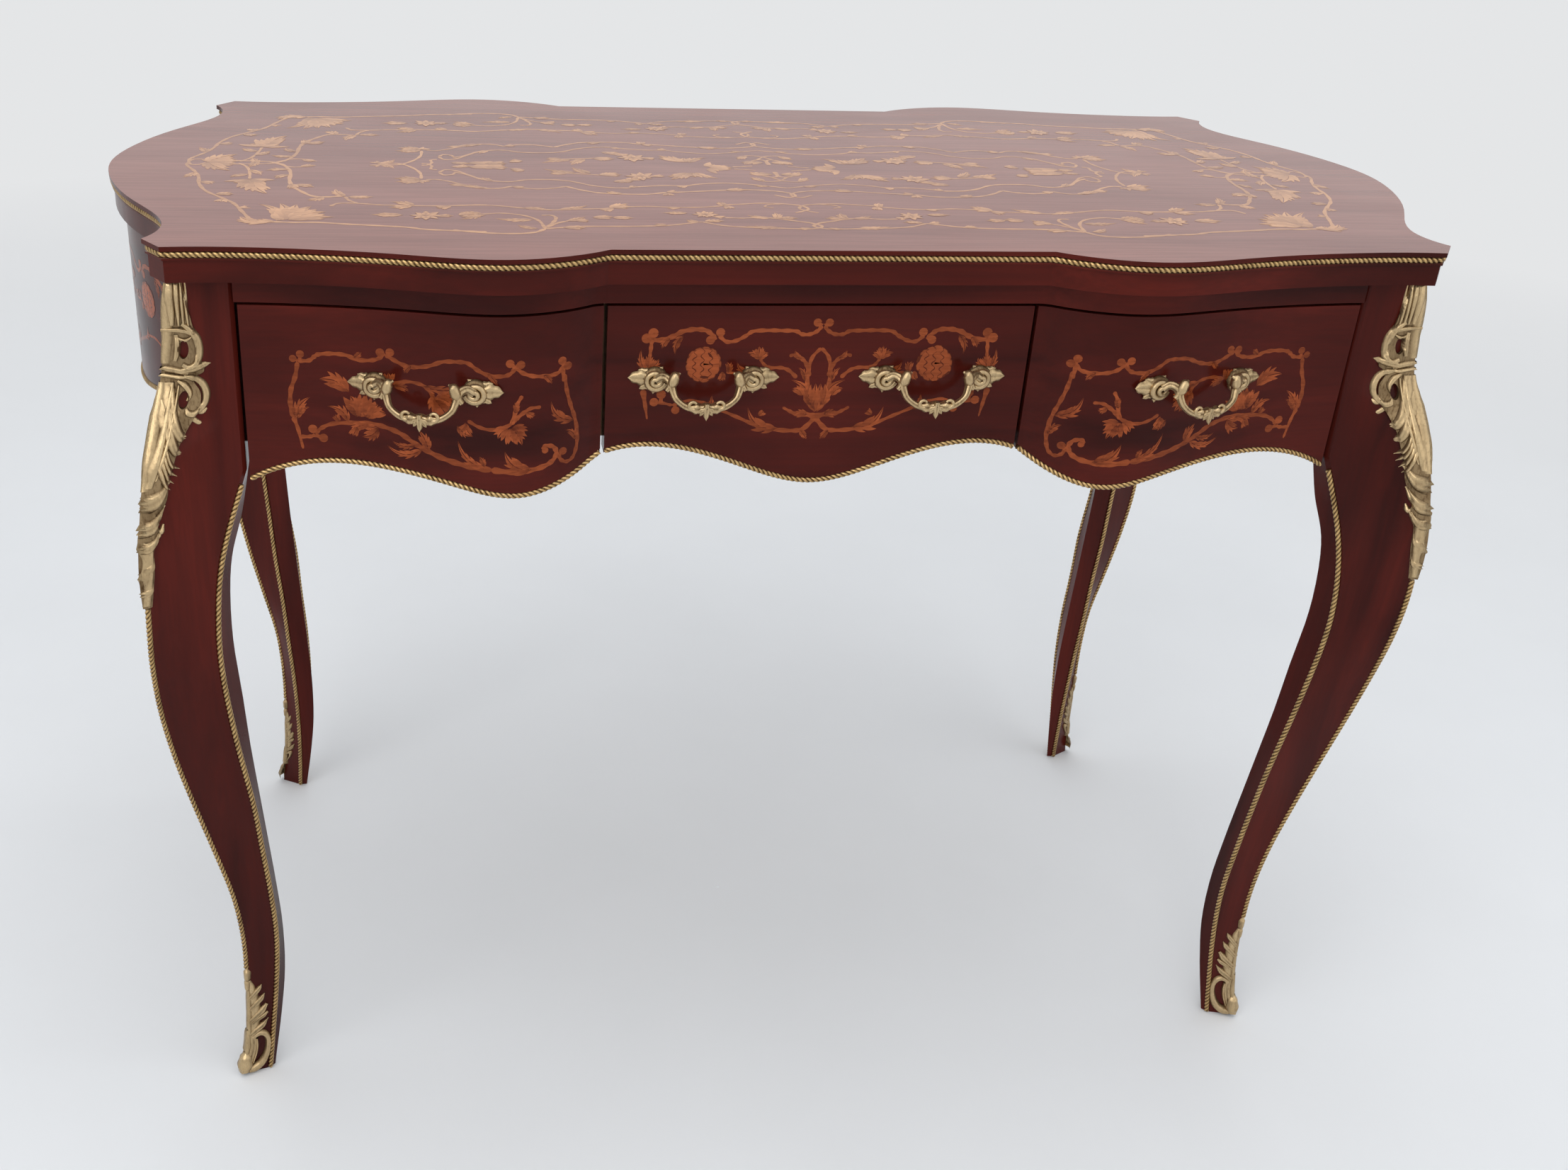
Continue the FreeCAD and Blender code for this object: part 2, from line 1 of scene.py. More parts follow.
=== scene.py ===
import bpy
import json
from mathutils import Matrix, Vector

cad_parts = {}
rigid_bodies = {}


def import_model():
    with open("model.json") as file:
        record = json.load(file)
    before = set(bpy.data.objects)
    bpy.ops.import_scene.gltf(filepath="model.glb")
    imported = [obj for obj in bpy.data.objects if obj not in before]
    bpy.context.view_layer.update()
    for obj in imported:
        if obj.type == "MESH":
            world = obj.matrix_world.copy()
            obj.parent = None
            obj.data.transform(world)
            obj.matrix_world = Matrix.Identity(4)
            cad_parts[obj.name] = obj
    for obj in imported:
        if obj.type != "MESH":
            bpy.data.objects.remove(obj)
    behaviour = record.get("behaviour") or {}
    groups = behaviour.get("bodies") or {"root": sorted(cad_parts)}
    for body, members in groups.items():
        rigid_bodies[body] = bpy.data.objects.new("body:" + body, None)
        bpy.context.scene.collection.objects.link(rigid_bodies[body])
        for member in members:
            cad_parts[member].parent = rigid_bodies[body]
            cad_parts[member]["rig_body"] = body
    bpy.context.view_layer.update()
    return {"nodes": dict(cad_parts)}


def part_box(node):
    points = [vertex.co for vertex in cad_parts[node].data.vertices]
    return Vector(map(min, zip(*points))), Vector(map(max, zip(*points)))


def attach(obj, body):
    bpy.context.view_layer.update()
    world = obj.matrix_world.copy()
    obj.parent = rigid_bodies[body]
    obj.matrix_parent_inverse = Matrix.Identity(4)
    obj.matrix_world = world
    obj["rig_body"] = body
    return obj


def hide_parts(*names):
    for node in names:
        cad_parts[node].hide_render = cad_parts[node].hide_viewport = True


bl_info = {
    "name": "Serpentine writing desk",
    "version": (1, 0, 0),
    "blender": (4, 5, 0),
    "location": "View3D > Sidebar > Desk",
    "description": "Dresses the desk's solids with lacquer, inlaid foliage, twisted edging and gilt castings",
    "category": "Object",
}

import json
import math
import random

import bmesh
import bpy
from bpy.props import FloatProperty, FloatVectorProperty, IntProperty, PointerProperty
from mathutils import Matrix, Vector
from mathutils.bvhtree import BVHTree

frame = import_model()

MM = 0.001
TOP_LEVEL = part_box("top_board")[1].z
DRAWERS = {"left": "drawer_left", "center": "drawer_center", "right": "drawer_right"}
TIMBER = ["front_rail", "back_apron", "left_side_apron", "right_side_apron"]
LININGS = [n for n in frame["nodes"] if n.endswith(("_divider", "_runner", "_side", "_back", "_bottom"))]
# Clear coat on the case, on the top and on the top's edge, and how sharply it mirrors
CASE_COAT, TOP_COAT, EDGE_COAT = 0.06, 0.35, 0.05
SHARP_COAT, SOFT_COAT = 0.06, 0.16
SPECULAR, COAT_IOR = 0.07, 1.55
LACQUER_GLOSS, LINING_GLOSS = 0.20, 0.55
# Strength and depth of the fine relief of a finish
LACQUER_BUMP, LINING_BUMP, GILT_BUMP = (0.03, 0.0004), (0.25, 0.0006), (0.30, 0.0006)
# Metal share of the gilt, and how dark the ground of a casting is: painted shade between its raised leaves
GILT_METAL, GROUND_DARKNESS = 0.9, 0.62


def colour(label, words, value):
    return FloatVectorProperty(name=label, description=words, default=value, size=3, subtype="COLOR",
                               min=0.0, max=1.0)


def length(label, words, value):
    return FloatProperty(name=label, description=words, default=value, unit="LENGTH", min=0.0, precision=5)


class DeskSizes(bpy.types.PropertyGroup):
    rope_pitch: length("Rope pitch", "Length of one full turn of a strand in the twisted edging", 0.0125)
    rope_radius: length("Rope radius", "Radius of the edging on the legs, drawers and aprons", 0.0023)
    top_rope_radius: length("Top rope radius", "Radius of the edging let into the top", 0.0029)
    inlay_lift: length("Inlay lift", "Height of the inlay above the lacquer", 0.00006)
    leg_out: length("Leg centre outward", "Distance of a leg's centre line from the middle plane", 0.462)
    leg_forward: length("Leg centre forward", "Distance of a leg's centre line in front of the middle", 0.232)
    handle_half: length("Handle half length", "From the middle of a handle to its leaf tip", 0.059)
    rosette_half: length("Rosette half spacing", "From the middle of a handle to a rosette", 0.038)
    bail_out: length("Bail reach", "How far the bail stands off the drawer", 0.018)
    bail_drop: length("Bail drop", "How far the bail hangs below the rosettes", 0.018)
    seed: IntProperty(name="Seed", description="Seed for small differences between like pieces", default=7)


class DeskColours(bpy.types.PropertyGroup):
    lacquer_dark: colour("Dark lacquer", "Dark streaks of the lacquered case", (0.022, 0.0034, 0.0027))
    lacquer_red: colour("Red lacquer", "Light streaks of the lacquered case", (0.096, 0.0115, 0.0070))
    # Paler colours of the top's upward faces: the case lacquer with painted light from above and painted
    # reflection of the room
    lit_top_dark: colour("Dark top", "Dark streaks of the lacquered top", (0.20, 0.082, 0.068))
    top_red: colour("Red top", "Light streaks of the lacquered top", (0.28, 0.122, 0.098))
    inlay_light: colour("Light inlay", "Pale wood of the foliage on the drawers", (0.37, 0.085, 0.026))
    inlay_dark: colour("Dark inlay", "Shaded wood of the foliage on the drawers", (0.085, 0.016, 0.006))
    # The top's inlay, paler than the drawers': the inlay wood with painted light from above and painted
    # reflection
    lit_top_inlay_light: colour("Light top inlay", "Pale wood of the foliage on the top", (0.62, 0.32, 0.155))
    lit_top_inlay_dark: colour("Dark top inlay", "Shaded wood of the foliage on the top", (0.27, 0.12, 0.06))
    gilt: colour("Gilt", "Rubbed gilt on the high places of the castings", (0.56, 0.41, 0.225))
    gilt_shadow: colour("Gilt shadow", "Darkened gilt in the hollows of the castings", (0.085, 0.045, 0.018))
    rope: colour("Rope gilt", "Rubbed gilt on the strands of the edging", (0.66, 0.44, 0.19))
    rope_shadow: colour("Rope shadow", "Dark gilt between the strands of the edging", (0.06, 0.027, 0.009))
    lining: colour("Lining", "Plain wood inside the desk", (0.36, 0.22, 0.115))
    lining_dark: colour("Lining shade", "Grain of the plain wood inside the desk", (0.22, 0.125, 0.06))
    floor: colour("Floor", "Pale floor and backdrop", (0.78, 0.79, 0.80))


# Shader nodes

def put(tree, kind, settings=None, values=None):
    made = tree.nodes.new(kind)
    for key, value in (settings or {}).items():
        setattr(made, key, value)
    for key, value in (values or {}).items():
        if isinstance(value, bpy.types.NodeSocket):
            tree.links.new(value, made.inputs[key])
        else:
            made.inputs[key].default_value = value
    return made


def effect_group(name, inputs, outputs):
    tree = bpy.data.node_groups.new(name, "ShaderNodeTree")
    for label, kind, value in inputs:
        socket = tree.interface.new_socket(label, in_out="INPUT", socket_type=kind)
        if kind != "NodeSocketVector":
            socket.default_value = value
    for label, kind in outputs:
        tree.interface.new_socket(label, in_out="OUTPUT", socket_type=kind)
    return tree, tree.nodes.new("NodeGroupInput"), tree.nodes.new("NodeGroupOutput")


def ramp(tree, value, low, high):
    limits = {"Value": value, "From Min": low, "From Max": high}
    made = put(tree, "ShaderNodeMapRange", {"clamp": True}, limits)
    return made.outputs["Result"]


def maths(tree, operation, first, second=0.0, clamp=False):
    made = put(tree, "ShaderNodeMath", {"operation": operation, "use_clamp": clamp}, {0: first, 1: second})
    return made.outputs[0]


def scaled(tree, value, factor):
    return maths(tree, "MULTIPLY", value, factor)


def mixed(tree, share, first, second):
    return put(tree, "ShaderNodeMix", {"data_type": "RGBA"}, {0: share, 6: first, 7: second}).outputs[2]


def noise(tree, place, scale, detail, distortion=0.0):
    made = put(tree, "ShaderNodeTexNoise", {}, {"Vector": place, "Scale": scale, "Detail": detail,
                                                "Distortion": distortion})
    return made.outputs["Fac"]


def stretched(tree, place, scale):
    return put(tree, "ShaderNodeMapping", {}, {"Vector": place, "Scale": scale}).outputs["Vector"]


def wood_figure():
    """Streaks, fibre and pores of polished wood, with the grain along the first axis."""
    tree, entry, leave = effect_group(
        "Wood figure",
        [("Place", "NodeSocketVector", None), ("Dark", "NodeSocketColor", (0.05, 0.01, 0.01, 1)),
         ("Light", "NodeSocketColor", (0.1, 0.02, 0.01, 1)), ("Gloss", "NodeSocketFloat", 0.16)],
        [("Color", "NodeSocketColor"), ("Roughness", "NodeSocketFloat"), ("Height", "NodeSocketFloat")])
    place = entry.outputs["Place"]
    streaks = noise(tree, stretched(tree, place, (1.1, 9.0, 9.0)), 2.2, 5.0, 0.7)
    fibre = noise(tree, stretched(tree, place, (6.0, 190.0, 190.0)), 2.0, 3.0)
    cloud = noise(tree, place, 3.2, 2.0)
    figure = maths(tree, "ADD", scaled(tree, ramp(tree, streaks, 0.32, 0.70), 0.75),
                   scaled(tree, ramp(tree, cloud, 0.35, 0.68), 0.35))
    tint = mixed(tree, figure, entry.outputs["Dark"], entry.outputs["Light"])
    pores = ramp(tree, fibre, 0.60, 0.40)
    darker = mixed(tree, 0.16, tint, (0.02, 0.006, 0.004, 1))
    tree.links.new(mixed(tree, pores, darker, tint), leave.inputs["Color"])
    haze = scaled(tree, ramp(tree, noise(tree, place, 14.0, 4.0), 0.35, 0.75), 0.07)
    tree.links.new(maths(tree, "ADD", entry.outputs["Gloss"], haze), leave.inputs["Roughness"])
    tree.links.new(fibre, leave.inputs["Height"])
    return tree


def gilt_patina():
    """Rubbed gilt with small blotches and upright chased lines, and darker hollows as painted shade."""
    tree, entry, leave = effect_group(
        "Gilt patina",
        [("Place", "NodeSocketVector", None), ("Bright", "NodeSocketColor", (0.6, 0.5, 0.3, 1)),
         ("Shadow", "NodeSocketColor", (0.2, 0.1, 0.05, 1)), ("Hollow", "NodeSocketFloat", 0.0)],
        [("Color", "NodeSocketColor"), ("Roughness", "NodeSocketFloat"), ("Height", "NodeSocketFloat")])
    place = entry.outputs["Place"]
    blotch = ramp(tree, noise(tree, place, 55.0, 5.0, 0.4), 0.48, 0.78)
    speck = ramp(tree, noise(tree, place, 420.0, 3.0), 0.56, 0.80)
    chased = noise(tree, stretched(tree, place, (1.0, 1.0, 0.2)), 620.0, 3.0, 0.6)
    worn = maths(tree, "ADD", scaled(tree, blotch, 0.28), scaled(tree, speck, 0.22))
    worn = maths(tree, "ADD", worn, scaled(tree, ramp(tree, chased, 0.48, 0.72), 0.24))
    # Worn marks and the hollow's painted shade together darken the gilt
    dark = maths(tree, "ADD", worn, entry.outputs["Hollow"], True)
    tree.links.new(mixed(tree, dark, entry.outputs["Bright"], entry.outputs["Shadow"]), leave.inputs["Color"])
    tree.links.new(maths(tree, "ADD", 0.26, scaled(tree, dark, 0.30)), leave.inputs["Roughness"])
    tree.links.new(maths(tree, "SUBTRACT", noise(tree, place, 260.0, 4.0), chased), leave.inputs["Height"])
    return tree


def inlay_grain():
    """Sawn inlay wood: each leaf a little lighter or darker, with a fine grain."""
    tree, entry, leave = effect_group(
        "Inlay grain",
        [("Place", "NodeSocketVector", None), ("Dark", "NodeSocketColor", (0.2, 0.05, 0.02, 1)),
         ("Light", "NodeSocketColor", (0.4, 0.1, 0.03, 1)), ("Tone", "NodeSocketFloat", 0.5)],
        [("Color", "NodeSocketColor"), ("Roughness", "NodeSocketFloat")])
    grain = noise(tree, stretched(tree, entry.outputs["Place"], (40.0, 260.0, 260.0)), 1.6, 4.0, 0.5)
    uneven = scaled(tree, maths(tree, "SUBTRACT", grain, 0.5), 0.9)
    share = maths(tree, "ADD", entry.outputs["Tone"], uneven, True)
    tree.links.new(mixed(tree, share, entry.outputs["Dark"], entry.outputs["Light"]), leave.inputs["Color"])
    tree.links.new(maths(tree, "ADD", 0.15, scaled(tree, grain, 0.12)), leave.inputs["Roughness"])
    return tree


def new_finish(name):
    material = bpy.data.materials.new(name)
    material.use_nodes = True
    tree = material.node_tree
    tree.nodes.clear()
    shader = put(tree, "ShaderNodeBsdfPrincipled")
    output = put(tree, "ShaderNodeOutputMaterial")
    tree.links.new(shader.outputs["BSDF"], output.inputs["Surface"])
    place = put(tree, "ShaderNodeTexCoord").outputs["Object"]
    return material, tree, shader, place


def rgba(value):
    return (value[0], value[1], value[2], 1.0)


def turned(tree, place, order, fold):
    """The place with its axes in another order, so that the grain runs along the piece."""
    parts = put(tree, "ShaderNodeSeparateXYZ", {}, {0: place})
    sockets = [parts.outputs[axis] for axis in order]
    if fold:
        sockets[0] = maths(tree, "ABSOLUTE", sockets[0])
    return put(tree, "ShaderNodeCombineXYZ", {}, dict(zip((0, 1, 2), sockets))).outputs[0]


def once(make):
    """Let a finish be made once and then found again by its name."""
    def finish(name, *values, **choices):
        return bpy.data.materials.get(name) or make(name, *values, **choices)
    return finish


def effect(tree, name, make, values):
    """One of the shared node groups, made at its first use."""
    found = bpy.data.node_groups.get(name) or make()
    return put(tree, "ShaderNodeGroup", {"node_tree": found}, values)


def wear(tree, shader, effects, bump=None):
    """Feed an effect's colour and roughness to a shader, and its height where a bump is given."""
    tree.links.new(effects.outputs["Color"], shader.inputs["Base Color"])
    tree.links.new(effects.outputs["Roughness"], shader.inputs["Roughness"])
    if bump:
        raised = put(tree, "ShaderNodeBump", {}, {"Strength": bump[0], "Distance": bump[1],
                                                  "Height": effects.outputs["Height"]})
        tree.links.new(raised.outputs["Normal"], shader.inputs["Normal"])


def polish(shader, roughness, weight=None):
    """Clear coat; its weight is left alone where the material works it out."""
    shader.inputs["Specular IOR Level"].default_value = SPECULAR
    shader.inputs["Coat Roughness"].default_value = roughness
    shader.inputs["Coat IOR"].default_value = COAT_IOR
    if weight is not None:
        shader.inputs["Coat Weight"].default_value = weight


@once
def lacquer(name, dark, light, order=(0, 1, 2), fold=False, coat=CASE_COAT, worn=None):
    """Polished red lacquer; worn is the paler pair of colours of a face that looks up to the light, painted
    light from above and painted reflection of the room.
    """
    material, tree, shader, place = new_finish(name)
    grain = turned(tree, place, order, fold)

    def figure(pair):
        return effect(tree, "Wood figure", wood_figure, {"Place": grain, "Dark": rgba(pair[0]),
                                                         "Light": rgba(pair[1]), "Gloss": LACQUER_GLOSS})

    wood = figure((dark, light))
    wear(tree, shader, wood, LACQUER_BUMP)
    if not worn:
        polish(shader, SHARP_COAT, coat)
        return material
    # Faces that look up take the paler colours: painted light from above and painted reflection; the coat
    # weight follows the same mask
    facing = put(tree, "ShaderNodeSeparateXYZ", {}, {0: put(tree, "ShaderNodeNewGeometry").outputs["Normal"]})
    level = ramp(tree, facing.outputs["Z"], 0.90, 0.99)
    tint = mixed(tree, level, wood.outputs["Color"], figure(worn).outputs["Color"])
    tree.links.new(tint, shader.inputs["Base Color"])
    shine = maths(tree, "ADD", scaled(tree, level, coat - EDGE_COAT), EDGE_COAT)
    tree.links.new(shine, shader.inputs["Coat Weight"])
    polish(shader, SOFT_COAT)
    return material


@once
def plain_wood(name, dark, light):
    material, tree, shader, place = new_finish(name)
    grain = turned(tree, place, (1, 0, 2), False)
    wood = effect(tree, "Wood figure", wood_figure, {"Place": grain, "Dark": rgba(dark),
                                                     "Light": rgba(light), "Gloss": LINING_GLOSS})
    wear(tree, shader, wood, LINING_BUMP)
    return material


def mark_value(tree):
    return put(tree, "ShaderNodeAttribute", {"attribute_name": "mark"}).outputs["Fac"]


@once
def gilt(name, bright, shadow, hollow=None):
    """Gilt finish: hollow is how dark it is all over, or None to read that from the mesh; that darkness is
    painted shade in the hollows.
    """
    material, tree, shader, place = new_finish(name)
    depth = mark_value(tree) if hollow is None else hollow
    patina = effect(tree, "Gilt patina", gilt_patina, {"Place": place, "Bright": rgba(bright),
                                                       "Shadow": rgba(shadow), "Hollow": depth})
    wear(tree, shader, patina, GILT_BUMP)
    shader.inputs["Metallic"].default_value = GILT_METAL
    return material


@once
def inlay_wood(name, dark, light, coat):
    material, tree, shader, place = new_finish(name)
    grain = effect(tree, "Inlay grain", inlay_grain, {"Place": place, "Dark": rgba(dark),
                                                      "Light": rgba(light), "Tone": mark_value(tree)})
    wear(tree, shader, grain)
    polish(shader, SHARP_COAT, coat)
    return material


def gilt_finish(colours):
    return gilt("Gilt casting", colours.gilt, colours.gilt_shadow)


# Ground of the corner mounts, darkened all over: painted shade between the raised leaves
def gilt_ground(colours):
    return gilt("Gilt ground", colours.gilt, colours.gilt_shadow, GROUND_DARKNESS)


def dress(node, finish):
    obj = frame["nodes"][node]
    obj.data.materials.clear()
    obj.data.materials.append(finish)


# Meshes

class Shape:
    """Points, faces and a mark for each point, gathered before they become one mesh."""

    def __init__(self):
        self.points = []
        self.faces = []
        self.marks = []

    def strip(self, rows, marks, closed=False):
        first = len(self.points)
        count = len(rows[0])
        for row, mark in zip(rows, marks):
            self.points.extend(row)
            self.marks.extend(mark)
        around = count if closed else count - 1
        for i in range(len(rows) - 1):
            for j in range(around):
                a = first + i * count + j
                b = first + i * count + (j + 1) % count
                self.faces.append((a, b, b + count, a + count))

    def cap(self, row, mark):
        first = len(self.points)
        self.points.extend(row)
        self.marks.extend([mark] * len(row))
        self.faces.append(tuple(range(first, first + len(row))))

    def moved(self, change):
        other = Shape()
        other.points = [change @ p for p in self.points]
        other.marks = list(self.marks)
        flip = change.to_3x3().determinant() < 0
        other.faces = [tuple(reversed(f)) for f in self.faces] if flip else list(self.faces)
        return other


def make_piece(name, shape, finish, body):
    mesh = bpy.data.meshes.new(name)
    mesh.from_pydata([tuple(p) for p in shape.points], [], shape.faces)
    mesh.polygons.foreach_set("use_smooth", [True] * len(mesh.polygons))
    layer = mesh.attributes.new("mark", "FLOAT", "POINT")
    layer.data.foreach_set("value", shape.marks)
    mesh.materials.append(finish)
    mesh.update()
    obj = bpy.data.objects.new(name, mesh)
    bpy.context.scene.collection.objects.link(obj)
    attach(obj, body)
    return obj


def flowing(points, parts=8):
    """Points along a smooth line through the given ones."""
    given = [Vector(p) for p in points]
    given = [2 * given[0] - given[1]] + given + [2 * given[-1] - given[-2]]
    line = []
    for i in range(1, len(given) - 2):
        a, b, c, d = given[i - 1:i + 3]
        for k in range(parts):
            t = k / parts
            line.append(0.5 * (2 * b + (c - a) * t + (2 * a - 5 * b + 4 * c - d) * t * t
                               + (3 * b - a - 3 * c + d) * t ** 3))
    line.append(given[-2])
    return line


def evenly(line, step):
    """The same line with points a step apart."""
    reach = [0.0]
    for a, b in zip(line, line[1:]):
        reach.append(reach[-1] + (b - a).length)
    count = max(2, round(reach[-1] / step))
    spaced = []
    i = 0
    for k in range(count + 1):
        goal = reach[-1] * k / count
        while i < len(line) - 2 and reach[i + 1] < goal:
            i += 1
        part = (goal - reach[i]) / max(reach[i + 1] - reach[i], 1e-9)
        spaced.append(line[i].lerp(line[i + 1], min(max(part, 0.0), 1.0)))
    return spaced


def value_along(stations, share):
    place = share * (len(stations) - 1)
    low = min(int(place), len(stations) - 2)
    t = place - low
    t = t * t * (3 - 2 * t)
    return stations[low] * (1 - t) + stations[low + 1] * t


def directions(line):
    last = len(line) - 1
    return [(line[min(i + 1, last)] - line[max(i - 1, 0)]).normalized() for i in range(last + 1)]


def swept(shape, line, radii, sides, section, end_mark):
    """Bar along a line; section gives share of radius and mark at an angle and a distance gone."""
    ways = directions(line)
    side = ways[0].orthogonal().normalized()
    angles = [2 * math.pi * k / sides for k in range(sides)]
    rows = []
    marks = []
    gone = 0.0
    for i, (point, way, radius) in enumerate(zip(line, ways, radii)):
        if i:
            gone += (point - line[i - 1]).length
        side = (side - way * side.dot(way)).normalized()
        over = way.cross(side)
        cut = [section(angle, gone) for angle in angles]
        rows.append([point + (side * math.cos(a) + over * math.sin(a)) * (radius * share)
                     for a, (share, mark) in zip(angles, cut)])
        marks.append([mark for share, mark in cut])
    shape.strip(rows, marks, closed=True)
    shape.cap(list(reversed(rows[0])), end_mark)
    shape.cap(rows[-1], end_mark)


def tube(shape, line, radii, sides, mark):
    """Round bar along a line with its own radius at each point."""
    swept(shape, line, radii, sides, lambda angle, gone: (1.0, mark), mark)


def fluted_bar(shape, line, radii, sides=20, flutes=5):
    """Cast bar with flutes along its length, darker in the flutes as painted shade."""
    def section(angle, gone):
        swell = abs(math.cos(flutes * 0.5 * angle))
        return 0.82 + 0.2 * swell, 0.7 * (1.0 - swell) ** 1.3

    swept(shape, line, radii, sides, section, 0.3)


def twisted_rope(shape, line, radius, pitch, strands=3, sides=12):
    """Rope edging: strands that wind round the line, darker between them as painted shade."""
    def section(angle, gone):
        swell = abs(math.cos(strands * 0.5 * (angle - 2 * math.pi * gone / pitch)))
        return 0.66 + 0.38 * swell, min(1.0, 1.25 * (1.0 - swell))

    line = evenly(line, pitch / strands / 4.0)
    swept(shape, line, [radius] * len(line), sides, section, 0.4)


def domed(u, vein, groove):
    """Height of a rounded leaf at a share of its half width, with a groove along its vein."""
    return math.sqrt(max(0.0, 1 - 0.98 * u * u)) - vein * math.exp(-(u / groove) ** 2)


def shaded(u, edge, inner, vein, groove):
    """Mark of a leaf at a share of its half width: darker at its edges and along its vein, as painted shade
    in the creases.
    """
    return edge * max(0.0, abs(u) - inner) / (1 - inner) + vein * math.exp(-(u / groove) ** 2)


# Reading the solids: points nearer than the weld are one, sections keep clear of ends and of corners
WELD, END_MARGIN, RING_SHIFT = 2e-6, 0.002, 0.37
# A ray at a drawer front starts well before it, keeps clear of bolt holes and takes no lying or inner face
RAY_START, BOLT_CLEAR, LYING, FRONT_LIMIT = -0.6, 0.014, 0.2, -0.2


def welded(node):
    work = bmesh.new()
    work.from_mesh(frame["nodes"][node].data)
    bmesh.ops.remove_doubles(work, verts=work.verts, dist=WELD)
    return work


def islands(work):
    """Groups of points of the separate solids in one node."""
    work.verts.ensure_lookup_table()
    seen = set()
    found = []
    for start in work.verts:
        if start.index in seen:
            continue
        seen.add(start.index)
        todo = [start]
        island = []
        while todo:
            vert = todo.pop()
            island.append(vert.index)
            for edge in vert.link_edges:
                other = edge.other_vert(vert)
                if other.index not in seen:
                    seen.add(other.index)
                    todo.append(other)
        found.append(island)
    return found


def crossing(edges, point, normal):
    """Points where a plane cuts some edges of a mesh."""
    cut = []
    for a, b in edges:
        da = (a - point).dot(normal)
        db = (b - point).dot(normal)
        if da * db < 0:
            cut.append(a.lerp(b, da / (da - db)))
    return cut


def edge_lists(node):
    work = welded(node)
    lists = []
    for island in islands(work):
        chosen = set(island)
        lists.append([(e.verts[0].co.copy(), e.verts[1].co.copy()) for e in work.edges
                      if e.verts[0].index in chosen])
    work.free()
    return lists


def middle(points):
    low = Vector([min(p[i] for p in points) for i in range(3)])
    high = Vector([max(p[i] for p in points) for i in range(3)])
    return (low + high) * 0.5


def centre_line(edges, axis, count):
    """Middle of a long solid's sections, from its low end to its high end along an axis."""
    values = [p[axis] for edge in edges for p in edge]
    low, high = min(values), max(values)
    normal = Vector([1.0 if i == axis else 0.0 for i in range(3)])
    margin = (high - low) * END_MARGIN
    line = []
    for k in range(count + 1):
        level = low + margin + (high - low - 2 * margin) * k / count
        cut = crossing(edges, normal * level, normal)
        if len(cut) > 2:
            line.append(middle(cut))
    return line


def ring_line(edges, count):
    """Middle of a closed rim's sections, going round the upright axis."""
    line = []
    for k in range(count):
        angle = 2 * math.pi * (k + RING_SHIFT) / count
        outward = Vector((math.cos(angle), math.sin(angle), 0))
        cut = crossing(edges, Vector((0, 0, 0)), Vector((-outward.y, outward.x, 0)))
        cut = [p for p in cut if p.dot(outward) > 0]
        if len(cut) > 2:
            line.append(middle(cut))
    return line


def caster(node):
    mesh = frame["nodes"][node].data
    return BVHTree.FromPolygons([v.co.copy() for v in mesh.vertices],
                                 [tuple(p.vertices) for p in mesh.polygons], epsilon=1e-6)


def on_drawer(front, x, level):
    """Place on the upright face of a drawer front, read clear of its bolt holes, and the way out of it."""
    for shift in (0.0, BOLT_CLEAR, -BOLT_CLEAR):
        hit = front.ray_cast(Vector((x, RAY_START, level + shift)), Vector((0, 1, 0)))
        if hit[0] is not None and abs(hit[1].z) < LYING and hit[0].y < FRONT_LIMIT:
            way = Vector((hit[1].x, hit[1].y, 0)).normalized()
            return Vector((hit[0].x, hit[0].y, level)), way
    raise RuntimeError("no drawer front at %.4f, %.4f" % (x, level))


